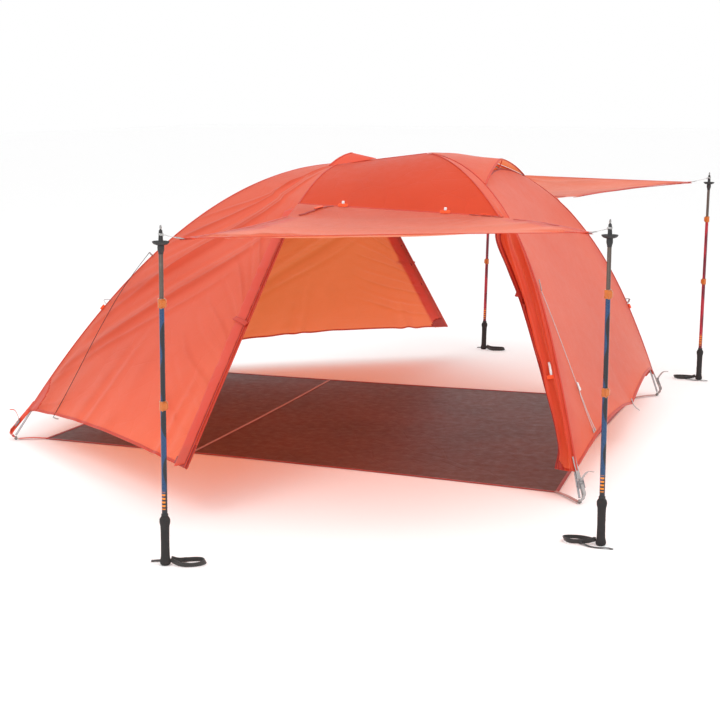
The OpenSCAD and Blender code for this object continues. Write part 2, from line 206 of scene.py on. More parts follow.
# ---------------------------------------------------------------- materials
def nylon(name, base, deep, glow, through=0.46, rough=0.42, sheen=0.25, grid=0.006):
    """Thin coated ripstop: a fine raised grid, faint creases from packing, painted shade and painted light
    along the panel's folds, and light that comes through.
    """
    m = Nodes(name)
    fold_painted_shade = tuple(c * s for c, s in zip(deep, (0.80, 0.52, 0.40, 1)))
    fold_painted_light = tuple(min(1.0, c * s) for c, s in zip(base, (1.05, 1.35, 1.5, 1)))
    uv = m.add("ShaderNodeSeparateXYZ", Vector=m.coordinates("UV")).outputs
    place = m.coordinates()
    lines = m.math("MAXIMUM", m.stripes(uv[0], grid, 0.12), m.stripes(uv[1], grid, 0.12))
    patches = m.noise(place, 2.3, 3.0)
    crinkle = m.noise(place, 26.0, 5.0, 0.6)
    cells = m.add("ShaderNodeTexVoronoi", {"feature": "DISTANCE_TO_EDGE"}, Scale=7.0)
    m.put(cells, "Vector", place)
    creases = m.ramp(cells.outputs["Distance"], 0.0, 0.035)
    colour = m.blend(m.ramp(patches, 0.35, 0.7), base, deep)
    colour = m.blend(m.math("MULTIPLY", lines, 0.22), colour, deep)
    # Painted shade where a fold stands out from the panel, and painted light where the cloth sinks between
    # folds.
    fold_shading_height = m.add("ShaderNodeAttribute", {"attribute_name": "fold_shading_height"}).outputs["Fac"]
    colour = m.blend(m.ramp(fold_shading_height, 0.0007, 0.0080, 0.0, 0.8), colour, fold_painted_shade)
    colour = m.blend(m.ramp(fold_shading_height, -0.0065, -0.0008, 0.35, 0.0), colour, fold_painted_light)
    shader = m.shader
    m.put(shader, "Base Color", colour)
    m.put(shader, "Roughness", m.ramp(crinkle, 0.3, 0.7, rough - 0.05, rough + 0.1))
    shader.inputs["Sheen Weight"].default_value = sheen
    shader.inputs["Sheen Roughness"].default_value = 0.4
    shader.inputs["IOR"].default_value = 1.42
    height = m.math("ADD", m.math("MULTIPLY", crinkle, 0.5), m.math("MULTIPLY", creases, 0.35))
    height = m.math("ADD", height, m.math("MULTIPLY", lines, 0.04))
    normal = m.bump(height, 0.0022, 0.55)
    m.put(shader, "Normal", normal)
    back = m.add("ShaderNodeBsdfTranslucent")
    back.inputs["Color"].default_value = glow
    m.put(back, "Normal", normal)
    mixed = m.add("ShaderNodeMixShader")
    mixed.inputs[0].default_value = through
    m.tree.links.new(shader.outputs[0], mixed.inputs[1])
    m.tree.links.new(back.outputs[0], mixed.inputs[2])
    m.tree.links.new(mixed.outputs[0], m.output.inputs["Surface"])
    return m.material


def webbing(name, base, dark, pitch=0.0012, rough=0.75):
    """Woven strap: ribs across its length, and a slightly fuzzy surface."""
    m = Nodes(name)
    uv = m.add("ShaderNodeSeparateXYZ", Vector=m.coordinates("UV")).outputs
    ribs = m.stripes(m.math("ADD", uv[1], m.math("MULTIPLY", uv[0], 0.5)), pitch, 0.5)
    fuzz = m.noise(m.coordinates(), 900.0, 3.0)
    worn = m.math("MULTIPLY", ribs, m.ramp(fuzz, 0.3, 0.7, 0.5, 1.0))
    m.put(m.shader, "Base Color", m.blend(worn, dark, base))
    m.put(m.shader, "Roughness", m.ramp(fuzz, 0.2, 0.8, rough - 0.1, rough + 0.1))
    m.shader.inputs["Sheen Weight"].default_value = 0.3
    m.put(m.shader, "Normal", m.bump(ribs, 0.0003, 0.6))
    return m.material


def braid(name, base, dark):
    """Braided cord: two sets of strands that cross along its length."""
    m = Nodes(name)
    place = m.coordinates()
    wave = m.add("ShaderNodeTexWave", {"wave_type": "BANDS", "bands_direction": "DIAGONAL"},
                 Scale=160.0, Distortion=1.5)
    m.put(wave, "Vector", place)
    m.put(m.shader, "Base Color", m.blend(wave.outputs[1], dark, base))
    m.put(m.shader, "Roughness", m.ramp(m.noise(place, 700.0), 0.3, 0.7, 0.6, 0.85))
    m.put(m.shader, "Normal", m.bump(wave.outputs[1], 0.0003, 0.7))
    return m.material


def moulded(name, base, worn, rough=0.45, grain=500.0, metallic=0.0, coat=0.0):
    """Moulded plastic, foam or bare metal: fine grain, and a paler tone where it has rubbed."""
    m = Nodes(name)
    place = m.coordinates()
    grit = m.noise(place, grain, 4.0)
    rubbed = m.noise(place, 38.0, 5.0, 0.65)
    m.put(m.shader, "Base Color", m.blend(m.ramp(rubbed, 0.55, 0.8), base, worn))
    m.put(m.shader, "Roughness", m.ramp(rubbed, 0.3, 0.8, rough - 0.08, rough + 0.14))
    m.shader.inputs["Metallic"].default_value = metallic
    m.shader.inputs["Coat Weight"].default_value = coat
    m.put(m.shader, "Normal", m.bump(grit, 0.00025, 0.5))
    return m.material


def lacquer(name, main, dark, accent, label_low, label_high, k):
    """A pole's lacquered shaft: long flame-like fields of two colours, and plain accent bars."""
    m = Nodes(name)
    place = m.add("ShaderNodeSeparateXYZ", Vector=m.coordinates()).outputs
    lean = math.radians(POLE_LEAN[k])
    side = m.math("SUBTRACT", m.math("SUBTRACT", place[0], float(POLE_FOOT[k][0])),
                  m.math("MULTIPLY", place[2], math.tan(lean)))
    sway = m.math("MULTIPLY", m.math("SINE", m.math("MULTIPLY", place[2], 44.0)), 0.007)
    slow = m.math("MULTIPLY", m.math("SINE", m.math("MULTIPLY", place[2], 13.0)), 0.008)
    field = m.math("ADD", side, m.math("ADD", sway, slow))
    colour = m.blend(m.ramp(field, -0.0008, 0.0008), main, dark)
    rim = m.ramp(m.math("ABSOLUTE", field), 0.0006, 0.0012, 1.0, 0.0)
    colour = m.blend(m.math("MULTIPLY", rim, 0.5), colour, main)
    inside = m.math("MULTIPLY", m.ramp(place[2], label_low, label_low + 0.002),
                    m.ramp(place[2], label_high - 0.002, label_high, 1.0, 0.0))
    bars = m.stripes(place[2], 0.012, 0.33)
    face = m.ramp(m.math("ABSOLUTE", side), 0.0060, 0.0068, 1.0, 0.0)
    colour = m.blend(m.math("MULTIPLY", m.math("MULTIPLY", inside, bars), face), colour, accent)
    m.put(m.shader, "Base Color", colour)
    scratch = m.noise(m.coordinates(), 240.0, 5.0, 0.7)
    m.put(m.shader, "Roughness", m.ramp(scratch, 0.4, 0.8, 0.24, 0.42))
    m.shader.inputs["Coat Weight"].default_value = 0.15
    m.shader.inputs["Coat Roughness"].default_value = 0.12
    m.put(m.shader, "Normal", m.bump(scratch, 0.0001, 0.4))
    return m.material


CORAL = rgb(234, 106, 84)
DEEP = rgb(226, 92, 70)
GLOW = rgb(255, 140, 78)
fly = nylon("fly_nylon", CORAL, DEEP, GLOW)
# The roof is the same cloth as the fly, painted darker and redder as painted shade, since it turns away from
# the light.
roof_shaded_cloth = nylon("roof_nylon_painted_shade", rgb(216, 76, 44), rgb(206, 68, 36), rgb(255, 104, 40), sheen=0.12)
# The doors and hems are the same cloth as the fly, painted darker as painted shade so that the doors' upturned
# tops are no brighter than the fly's sides.
awning_shaded_cloth = nylon("awning_nylon_painted_shade", rgb(208, 80, 58), rgb(198, 70, 50), GLOW, through=0.38)
ground_cloth = nylon("ground_nylon", rgb(98, 50, 38), rgb(84, 42, 32), rgb(120, 60, 44),
                     through=0.0, rough=0.5, sheen=0.02)
seam_cloth = nylon("seam_tape", rgb(216, 74, 50), rgb(204, 62, 42), rgb(240, 80, 40), through=0.2, sheen=0.1)
trim_cloth = nylon("dark_trim", rgb(184, 52, 38), rgb(162, 42, 32), rgb(190, 50, 34), through=0.15, sheen=0.1)
grey_web = webbing("grey_webbing", rgb(186, 182, 180), rgb(140, 136, 136))
pink_web = webbing("pink_webbing", rgb(196, 140, 132), rgb(160, 108, 100))
orange_web = webbing("orange_webbing", rgb(230, 70, 30), rgb(196, 52, 20))
black_web = webbing("black_webbing", rgb(52, 46, 44), rgb(26, 23, 22))
bright_web = webbing("bright_webbing", rgb(255, 90, 20), rgb(226, 66, 10))
white_cord = braid("white_cord", rgb(226, 224, 222), rgb(170, 168, 168))
dark_cord = braid("dark_cord", rgb(70, 40, 40), rgb(36, 22, 24))
grey_plastic = moulded("grey_plastic", rgb(128, 126, 128), rgb(160, 158, 160))
white_plastic = moulded("white_plastic", rgb(222, 222, 222), rgb(200, 200, 200))
black_plastic = moulded("black_plastic", rgb(34, 33, 34), rgb(62, 60, 60), rough=0.5)
hub_plastic = moulded("hub_plastic", rgb(214, 90, 40), rgb(230, 120, 70))
clamp_plastic = moulded("clamp_plastic", rgb(194, 98, 6), rgb(212, 122, 24), rough=0.3, grain=300.0, coat=0.3)
foam = moulded("grip_foam", rgb(38, 34, 34), rgb(58, 52, 50), rough=0.82, grain=1400.0)
bare_tube = moulded("bare_tube", rgb(100, 90, 84), rgb(130, 120, 112), rough=0.32, grain=900.0, metallic=0.85)
pole_alloy = moulded("pole_alloy", rgb(170, 172, 176), rgb(196, 198, 200), rough=0.3, grain=900.0,
                     metallic=0.9)
steel = moulded("carbide_steel", rgb(150, 148, 146), rgb(190, 188, 186), rough=0.25, grain=800.0,
                metallic=1.0)
shafts = []
for k in range(4):
    main, dark = (rgb(10, 58, 100), rgb(11, 14, 26)) if k < 2 else (rgb(170, 24, 46), rgb(112, 12, 38))
    shafts.append(lacquer(f"{POLES[k]}_lacquer", main, dark, rgb(238, 138, 24), 0.185, 0.245, k))


# ---------------------------------------------------------------- mesh helpers
def mesh_object(name, points, faces, material, uvs=None):
    """A mesh in the scene, smooth shaded, with one material and its UVs in metres of cloth or strap."""
    mesh = bpy.data.meshes.new(name)
    mesh.from_pydata([tuple(p) for p in points], [], [tuple(f) for f in faces])
    if uvs is not None:
        layer = mesh.uv_layers.new(name="uv")
        loops = np.zeros(len(mesh.loops), np.int64)
        mesh.loops.foreach_get("vertex_index", loops)
        layer.data.foreach_set("uv", np.asarray(uvs, float)[loops].ravel())
    mesh.polygons.foreach_set("use_smooth", [True] * len(mesh.polygons))
    mesh.materials.append(material)
    mesh.update()
    o = bpy.data.objects.new(name, mesh)
    bpy.context.scene.collection.objects.link(o)
    return o


def grid_faces(rows, cols, wrap=False):
    """The four-sided faces of a grid of points. With wrap, the last column joins the first."""
    out = []
    for i in range(rows - 1):
        for j in range(cols if wrap else cols - 1):
            a, b = i * cols + j, i * cols + (j + 1) % cols
            out.append((a, b, b + cols, a + cols))
    return out


def grid_normals(p):
    """Unit normals of a grid of points, turned away from the tent's inside."""
    n = units(np.cross(np.gradient(p, axis=0), np.gradient(p, axis=1)))
    middle = p[p.shape[0] // 2, p.shape[1] // 2]
    if n[p.shape[0] // 2, p.shape[1] // 2] @ (middle - CENTRE) < 0:
        n = -n
    return n


def cut_lengths(p):
    """How far along the cloth each point of the grid lies, both ways, in metres."""
    down = np.linalg.norm(np.diff(p, axis=0), axis=2)
    across = np.linalg.norm(np.diff(p, axis=1), axis=2)
    v = np.vstack([np.zeros((1, p.shape[1])), np.cumsum(down, axis=0)])
    u = np.hstack([np.zeros((p.shape[0], 1)), np.cumsum(across, axis=1)])
    return u - u.mean(axis=1, keepdims=True), v


def panel(name, body, p, material, nodes, m=NEAR):
    """One cloth panel from a grid of points, as a sheet with its UVs at the size that it was cut."""
    fold_shading_height = FOLD_SHADING_HEIGHTS[id(p)]
    p = p * m
    faces = grid_faces(p.shape[0], p.shape[1])
    i, j = p.shape[0] // 2, p.shape[1] // 2
    if np.cross(p[i + 1, j] - p[i, j], p[i, j + 1] - p[i, j]) @ grid_normals(p)[i, j] > 0:
        faces = [f[::-1] for f in faces]
    u, v = cut_lengths(p)
    o = mesh_object(name, p.reshape(-1, 3), faces, material, np.stack([u.ravel(), v.ravel()], 1))
    # The fold heights go on the mesh as an attribute, which the cloth turns into painted shade and painted
    # light.
    layer = o.data.attributes.new("fold_shading_height", "FLOAT", "POINT")
    layer.data.foreach_set("value", np.ascontiguousarray(fold_shading_height, np.float32).ravel())
    if body:
        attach(o, body)
    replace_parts(o, *nodes)
    return o


def noise_grid(x, y, seed):
    """Smooth noise from -1 to 1, one bump to a unit, the same each run."""
    table = np.random.default_rng(seed).uniform(-1, 1, (64, 64))
    xi, yi = np.floor(x).astype(int), np.floor(y).astype(int)
    fx, fy = smooth(x - xi), smooth(y - yi)
    def at(a, b):
        return table[a % 64, b % 64]
    return lerp(lerp(at(xi, yi), at(xi + 1, yi), fx), lerp(at(xi, yi + 1), at(xi + 1, yi + 1), fx), fy)


def fold(u, v, a, b, width, depth, size=(1.5, 0.85)):
    """The height of a soft fold from a to b, which are shares down and across a panel of that size."""
    x, y = u * size[0], v * size[1]
    a, b = np.array(a) * size, np.array(b) * size
    d = b - a
    t = np.clip(((x - a[0]) * d[0] + (y - a[1]) * d[1]) / (d @ d), 0, 1)
    wave = 0.012 * np.sin(t * 5 + a[0] * 9)
    away = ((x - a[0]) * d[1] - (y - a[1]) * d[0]) / np.sqrt(d @ d) + wave
    return depth * np.exp(-(away / width) ** 2) * np.sin(np.pi * t ** 0.8) ** 0.7


def fan(p, corner, first, last, count, depth, reach, seed, width=0.16):
    """Pulled wrinkles that spread from a corner, from the direction first round to last."""
    rng = np.random.default_rng(seed)
    out = np.zeros(p.shape[:-1])
    for i in range(count):
        k = (i + rng.uniform(0.25, 0.75)) / count
        way = unit(lerp(np.asarray(first, float), np.asarray(last, float), k))
        long = reach * rng.uniform(0.55, 1.0)
        d = p - corner
        t = d @ way
        away = np.linalg.norm(d - t[..., None] * way, axis=-1)
        spread = 0.006 + width * np.maximum(t, 0) / count * 1.4
        height = np.exp(-(away / spread) ** 2) * smooth(t / (0.12 * long)) * smooth((long - t) / (0.7 * long))
        out += depth * rng.uniform(0.5, 1.0) * (1 if i % 2 else -0.6) * height
    return out


def swept(route, across, half_w, half_t, crown=0.0):
    """The closed outline of a strap along a route: its points, faces and UVs."""
    route = np.asarray(route, float)
    way = units(np.gradient(route, axis=0))
    across = np.broadcast_to(np.asarray(across, float), route.shape)
    side = units(across - (across * way).sum(1, keepdims=True) * way)
    up = np.cross(side, way)
    outline = [(-1, -0.55), (-0.9, -1), (0, -1), (0.9, -1), (1, -0.55),
               (1, 0.55), (0.9, 1), (0, 1 + crown), (-0.9, 1), (-1, 0.55)]
    rings = np.stack([route + side * half_w * x + up * half_t * y for x, y in outline], 1)
    along = np.concatenate([[0], np.cumsum(np.linalg.norm(np.diff(route, axis=0), axis=1))])
    n = len(outline)
    faces = grid_faces(len(route), n, wrap=True)
    faces.append(tuple(range(n - 1, -1, -1)))
    faces.append(tuple(range((len(route) - 1) * n, len(route) * n)))
    uvs = np.stack([np.tile([x * half_w for x, _ in outline], len(route)), np.repeat(along, n)], 1)
    return rings.reshape(-1, 3), faces, uvs


def piece(name, body, shape, material):
    """A closed shape, given by its points, faces and UVs, that rides on one body."""
    points, faces, uvs = shape
    o = mesh_object(name, points, faces, material, uvs)
    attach(o, body)
    return o


def strap(name, body, route, across, width, thick, material, crown=0.0):
    return piece(name, body, swept(route, across, width / 2, thick / 2, crown), material)


def curve_points(points, per=8):
    """A smooth line through a few points."""
    p = np.asarray(points, float)
    p = np.vstack([2 * p[0] - p[1], p, 2 * p[-1] - p[-2]])
    out = []
    for i in range(1, len(p) - 2):
        for t in np.arange(per) / per:
            out.append(0.5 * (2 * p[i] + (p[i + 1] - p[i - 1]) * t
                              + (2 * p[i - 1] - 5 * p[i] + 4 * p[i + 1] - p[i + 2]) * t * t
                              + (3 * p[i] - p[i - 1] - 3 * p[i + 1] + p[i + 2]) * t ** 3))
    out.append(p[-2])
    return np.array(out)


def tube_mesh(route, r, sides=8):
    """A round tube along a route, closed at both ends: its points, faces and UVs."""
    route = np.asarray(route, float)
    r = np.broadcast_to(np.asarray(r, float), (len(route),))
    way = units(np.gradient(route, axis=0))
    ref = np.array([0, 0, 1.0]) if abs(way[0, 2]) < 0.9 else np.array([1.0, 0, 0])
    side = np.zeros_like(route)
    s = unit(np.cross(way[0], ref))
    for i in range(len(route)):
        s = unit(s - (s @ way[i]) * way[i])
        side[i] = s
    up = np.cross(way, side)
    a = np.arange(sides) * 2 * np.pi / sides
    spokes = side[:, None] * np.cos(a)[None, :, None] + up[:, None] * np.sin(a)[None, :, None]
    rings = route[:, None] + r[:, None, None] * spokes
    faces = grid_faces(len(route), sides, wrap=True)
    faces.append(tuple(range(sides - 1, -1, -1)))
    faces.append(tuple(range((len(route) - 1) * sides, len(route) * sides)))
    along = np.concatenate([[0], np.cumsum(np.linalg.norm(np.diff(route, axis=0), axis=1))])
    uvs = np.stack([np.tile(a * r.mean(), len(route)), np.repeat(along, sides)], 1)
    return rings.reshape(-1, 3), faces, uvs


def joined(name, body, parts, material):
    """Several closed shapes as one piece."""
    points, faces, uvs = [], [], []
    for p, f, t in parts:
        start = sum(len(x) for x in points)
        faces += [tuple(i + start for i in face) for face in f]
        points.append(p)
        uvs.append(t)
    return piece(name, body, (np.vstack(points), faces, np.vstack(uvs)), material)


def block(at, size, axes=None, round_share=0.25):
    """A box with rounded edges, as points, faces and UVs."""
    n = 5
    s = np.array([-1, -1 + round_share, 0, 1 - round_share, 1])
    axes = np.eye(3) if axes is None else np.asarray(axes, float)
    points, faces = [], []
    index = {}
    for i in range(n):
        for j in range(n):
            for k in range(n):
                if 0 < i < n - 1 and 0 < j < n - 1 and 0 < k < n - 1:
                    continue
                q = np.array([s[i], s[j], s[k]])
                inner = np.clip(q, -1 + round_share, 1 - round_share)
                out = q - inner
                length = np.linalg.norm(out)
                if length > 1e-9:
                    q = inner + out / length * round_share
                index[(i, j, k)] = len(points)
                points.append(np.asarray(at) + (q * np.asarray(size) / 2) @ axes)
    for axis in range(3):
        for end in (0, n - 1):
            for a in range(n - 1):
                for b in range(n - 1):
                    quad = []
                    for da, db in ((0, 0), (1, 0), (1, 1), (0, 1)):
                        key = [0, 0, 0]
                        key[axis] = end
                        key[(axis + 1) % 3] = a + da
                        key[(axis + 2) % 3] = b + db
                        quad.append(index[tuple(key)])
                    faces.append(tuple(quad) if end else tuple(reversed(quad)))
    points = np.array(points)
    return points, faces, points[:, :2] - points[:, :2].mean(0)


def lathe(profile, sides=48, wobble=None, ring=False):
    """A turned shape round +Z from (radius, height) pairs, with closed ends or as a ring."""
    profile = np.asarray(profile, float)
    a = np.arange(sides) * 2 * np.pi / sides
    r = profile[:, 0][:, None] * np.ones(sides)
    if wobble is not None:
        r = r * wobble(a[None, :], profile[:, 1][:, None])
    p = np.stack([r * np.cos(a), r * np.sin(a), np.broadcast_to(profile[:, 1][:, None], r.shape)], -1)
    faces = grid_faces(len(profile) + ring, sides, wrap=True)
    if ring:
        faces = [tuple(i % (len(profile) * sides) for i in f) for f in faces]
    else:
        faces.append(tuple(range(sides - 1, -1, -1)))
        faces.append(tuple(range((len(profile) - 1) * sides, len(profile) * sides)))
    uvs = np.stack([np.tile(a * 0.015, len(profile)), np.repeat(profile[:, 1], sides)], 1)
    return p.reshape(-1, 3), faces, uvs


def on_pole(k, points, turn=0.0):
    """Points from a pole's own frame, +Z up its shaft, to the row frame."""
    stand = Matrix.Translation(Vector(POLE_FOOT[k]) + Vector((0, 0, POLE_RAISED)))
    lean = Matrix.Rotation(math.radians(POLE_LEAN[k]), 4, "Y")
    m = np.array(stand @ lean @ Matrix.Rotation(math.radians(turn), 4, "Z"))
    return np.asarray(points) @ m[:3, :3].T + m[:3, 3]


# ---------------------------------------------------------------- cords, each repeated from the CAD route
def cord_piece(name, body, points, node, material):
    """A limp cord held taut along its points."""
    curve = bpy.data.curves.new(name, "CURVE")
    curve.dimensions = "3D"
    curve.bevel_depth = CORD_D / 2
    curve.bevel_resolution = 3
    curve.use_fill_caps = True
    spline = curve.splines.new("POLY")
    spline.points.add(len(points) - 1)
    for q, p in zip(spline.points, points):
        q.co = (*p, 1)
    o = bpy.data.objects.new(name, curve)
    bpy.context.scene.collection.objects.link(o)
    curve.materials.append(material)
    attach(o, body)
    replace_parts(o, node)


def towards(p, q, d):
    """The point at a distance d from p on the way to q."""
    return p + d * unit(q - p)


FOOT_GUY = np.array([[-764, -520, 806], [-812, -572, 724], [-848, -644, 636], [-878, -720, 538],
                     [-903, -796, 440], [-927, -872, 338], [-950, -944, 244], [-978, -1006, 154]]) / 1000


# ---------------------------------------------------------------- the fly's curves, on the near side
def curve3(x, y, z):
    return np.stack(np.broadcast_arrays(x, y, z), -1).astype(float)


LEG_POWER, LEG_DROP, LEG_BOW = 2.15, 0.935, 0.058


def head_leg(t):
    """The near head leg from its hub, t = 0, to its foot, t = 1."""
    t = np.asarray(t, float)
    return curve3(lerp(HEAD_HUB[0], HEAD_FOOT[0], t) + LEG_BOW * np.maximum(bow(t), 0) ** 1.5,
                  HEAD_FOOT[1] * t, HEAD_H * (1 - t ** LEG_POWER) ** LEG_DROP)


def foot_leg(t):
    """The near foot leg from its hub, t = 0, to its foot, t = 1."""
    t = np.asarray(t, float)
    return curve3(lerp(FOOT_HUB[0], FOOT_FOOT[0], t), FOOT_FOOT[1] * t, FOOT_H * (1 - t * t))


def head_step(a, b, k):
    """Steps down the head leg that close up where it turns down."""
    turn = lerp(np.arcsin(a ** (LEG_POWER / 2)), np.arcsin(b ** (LEG_POWER / 2)), np.asarray(k, float))
    return np.sin(turn) ** (2 / LEG_POWER)


def left_arch(t):
    """The roof's foot side seam, from the foot hub down to the door's left corner."""
    t = np.asarray(t, float)
    return curve3(lerp(FOOT_HUB[0], -0.062, t), -0.505 * t, FOOT_H - 0.146 * t * t)


def right_arch(t):
    """The roof's head side seam, from the head hub down to the door's right corner."""
    t = np.asarray(t, float)
    return curve3(lerp(HEAD_HUB[0], 0.809, t) - 0.009 * bow(t), -0.537 * t, HEAD_H - 0.223 * t ** 2.23)


LEFT_TOP = np.array([-0.068, -0.518, 1.012])
ARCH_SHARE = 0.28


def left_line(t):
    """The foot side panel's free edge, down the roof's seam and on to the vestibule's tip."""
    t = np.asarray(t, float)
    low = lerp(LEFT_TOP, VESTIBULE_TIP, np.clip((t - ARCH_SHARE) / (1 - ARCH_SHARE), 0, 1)[..., None])
    return np.where((t < ARCH_SHARE)[..., None], left_arch(np.minimum(t / ARCH_SHARE, 1)), low)


# The head side's free edge leaves the roof's right seam and hangs down to its own tip
RIGHT_EDGE = curve_points(np.array([[809, -537, 1007], [806, -576, 927], [871, -629, 809], [946, -696, 676],
                                    [1051, -809, 443], [1141, -905, 212], [1143, -946, 110]]) / 1000, 12)


def along(route, t):
    """The point at a share t of a route's points."""
    t = np.asarray(t, float) * (len(route) - 1)
    k = np.minimum(t.astype(int), len(route) - 2)
    return lerp(route[k], route[k + 1], (t - k)[..., None])


VENT_AT, HEAD_HEM, VENT_RISE = 0.335, 0.959, 0.047


def end_points(edge, pull, crown, k, v):
    """An end panel's surface, where edge is its near side, k how far down and v how far across."""
    return curve3(edge[..., 0] + pull * bow(v) * (k * k - 0.6 * bow(k)) - 0.75 * crown * bow(v) * (1 - k) ** 4,
                  edge[..., 1] * (1 - 2 * v),
                  edge[..., 2] + k ** 6 * (0.055 * bow(2 * v - np.floor(2 * v)) + 0.045 * bow(v))
                  + crown * bow(v) * (1 - k) ** 4)


def grid(rows, cols):
    return np.meshgrid(np.linspace(0, 1, rows), np.linspace(0, 1, cols), indexing="ij")


# The fold heights of each raised panel, which its cloth turns into painted shade and painted light.
FOLD_SHADING_HEIGHTS = {}


def raised(p, height):
    """A panel with its folds, whose heights are kept so that its cloth can be painted with shade and light
    along them.
    """
    q = p + grid_normals(p) * height[..., None]
    FOLD_SHADING_HEIGHTS[id(q)] = height
    return q


def ease(v, share=0.04):
    """0 at both edges of a panel and 1 inside it, so that its wrinkles stop at its seams."""
    return smooth(v / share) * smooth((1 - v) / share)


def mottled(p, size, seed):
    """Uneven cloth, in soft bumps of about that size."""
    return noise_grid(p[..., 0] / size + 7, p[..., 2] / size + p[..., 1] / size * 0.7 + 3, seed)


# ---------------------------------------------------------------- cords
def guy_at(k):
    """The head guyline's route down the head panel, beside the near leg."""
    u = lerp(0.41, 0.95, np.asarray(k, float))
    return end_points(head_leg(head_step(VENT_AT, HEAD_HEM, u)), 0.05, VENT_RISE, u,
                      0.015 + 0.125 * (1 - (1 - np.asarray(k, float)) ** 2)) + np.array([0.006, 0, 0.003])


for k, name in enumerate(POLES):
    start = towards(CORNERS[k], pole_at(k, CORD_Z), HOOK_L)
    stop = towards(pole_at(k, CORD_Z), CORNERS[k], LOOP_REACH)
    route = lerp(start, stop, np.linspace(0, 1, 16)[:, None])
    cord_piece(f"{name}_awning_cord", "near_door" if k < 2 else "far_door", route, f"{name}_cord",
               white_cord)
cord_piece("head_guyline_cord", "root", guy_at(np.linspace(0, 1, 60)), "head_guyline",
           white_cord)
cord_piece("foot_guyline_cord", "root", curve_points(FOOT_GUY, 3), "foot_guyline",
           dark_cord)


# ---------------------------------------------------------------- fly
def end_panel(edge, pull, crown, cols, seed):
    """An end of the fly, with wrinkles pulled from both lower corners and the middle of its hem."""
    u, v = grid(len(edge), cols)
    p = end_points(edge[:, None] * np.ones((1, cols, 1)), pull, crown, u, v)
    out = np.sign(pull)
    height = np.zeros(p.shape[:2])
    for s in (1, -1):
        corner = edge[-1] * np.array([1, s, 1])
        height += fan(p, corner, [-0.25 * out, -s * 0.30, 0.9], [-0.05 * out, -s * 1.0, 0.22],
                      11, 0.010, 0.85, seed + s)
        height += fan(p, corner, [-0.2 * out, -s * 0.5, 0.85], [-0.1 * out, -s * 0.9, 0.4],
                      14, 0.0045, 0.45, seed + 3 + s)
    height += fan(p, p[-1, cols // 2], [0, -0.8, 0.5], [0, 0.8, 0.5], 7, 0.004, 0.4, seed + 5)
    height += 0.0035 * mottled(p, 0.22, seed) + 0.0012 * mottled(p, 0.07, seed + 9)
    return raised(p, height * ease(v) * smooth(u / 0.04))


head_edge = head_leg(head_step(VENT_AT, HEAD_HEM, np.linspace(0, 1, 150)))
head_panel = end_panel(head_edge, 0.05, VENT_RISE, 170, 20)
foot_panel = end_panel(foot_leg(np.linspace(0.004, 0.947, 150)), -0.05, 0.0, 150, 30)


def roof_grid(rows=90, cols=120):
    """The near half of the roof, between its two seams."""
    v, t = grid(rows, cols)
    v = lerp(0.004, 1.0, v)
    p = lerp(left_arch(v), right_arch(v), t[..., None])
    height = 0.0016 * mottled(p, 0.16, 41)
    height += fan(p, left_arch(1.0), [0.9, 0.5, 0.1], [0.4, 0.9, 0.2], 5, 0.0025, 0.35, 42)
    height += fan(p, right_arch(1.0), [-0.9, 0.5, 0.1], [-0.4, 0.9, 0.2], 5, 0.0025, 0.35, 43)
    return raised(p, height * ease(t, 0.06) * ease(v, 0.05))


def foot_side_grid(rows=180, cols=140):
    """The near foot-side vestibule panel, from the leg to its free edge."""
    u, v = grid(rows, cols)
    p = lerp(foot_leg(lerp(0.004, 0.945, u)), left_line(lerp(0.004, 1.0, u)), v[..., None])
    p[..., 2] += 0.030 * bow(v) * (1.3 - 0.6 * v) * u ** 12
    height = 0.003 * mottled(p, 0.25, 51) + 0.001 * mottled(p, 0.07, 52)
    # Long soft folds pulled from the leg up towards the roof's corner
    for i, (low, high, width, depth) in enumerate([(0.95, 0.36, 0.020, 0.011), (0.88, 0.26, 0.014, -0.007),
                                                   (0.82, 0.20, 0.018, 0.010), (0.75, 0.12, 0.022, 0.012),
                                                   (0.67, 0.07, 0.013, -0.006), (0.60, 0.05, 0.018, 0.009),
                                                   (0.48, 0.03, 0.014, 0.006), (0.98, 0.52, 0.012, 0.006)]):
        height += fold(u, v, (low, 0.0), (high, 0.80 + 0.12 * math.sin(i * 2.4)), width, depth)
    for i in range(9):
        height += fold(u, v, (0.93 - 0.055 * i, 0.96), (0.84 - 0.06 * i, 0.60), 0.010, 0.0045 * (-1) ** i)
    height += fan(p, foot_leg(0.945), [0.55, -0.1, 0.8], [0.85, -0.5, 0.06], 10, 0.006, 0.75, 53)
    height += fan(p, VESTIBULE_TIP, [-0.25, 0.6, 0.75], [-0.85, 0.5, 0.05], 9, 0.005, 0.65, 54)
    hem = np.sin(v * 46 + 3 * noise_grid(v * 9, u * 3, 55)) * smooth((u - 0.70) / 0.24) * 0.006
    height += hem * (0.3 + 0.7 * noise_grid(v * 7 + 4, u * 2, 56) ** 2)
    return raised(p, height * ease(v, 0.03) * smooth(u / 0.03))


BAND_SPLIT = 0.30


def band_lines(u):
    """The leg side and the door side of the narrow panel beside the head leg, at shares u of the way down."""
    top, low = np.clip(u / BAND_SPLIT, 0, 1), np.clip((u - BAND_SPLIT) / (1 - BAND_SPLIT), 0, 1)
    upper = (u < BAND_SPLIT)[..., None]
    leg = np.where(upper, head_leg(lerp(0.02, 0.47, top)), head_leg(head_step(0.47, 0.962, low)))
    edge = np.where(upper, right_arch(lerp(0.04, 1.0, top)), along(RIGHT_EDGE, low))
    return leg, edge


def head_side_grid(rows=170, cols=64):
    """It hangs loose below the door's corner, in two long soft folds."""
    u, v = grid(rows, cols)
    leg, edge = band_lines(u)
    p = lerp(leg, edge, v[..., None])
    p[..., 1] -= 0.008 * bow(v)
    hang = smooth((u - BAND_SPLIT + 0.05) / 0.16)
    folds = 0.017 * np.sin(v * 4 * np.pi + 0.8 * np.sin(5 * u)) * ease(v, 0.18)
    height = hang * (folds + 0.005 * mottled(p, 0.10, 61))
    return raised(p, height * ease(v, 0.08))


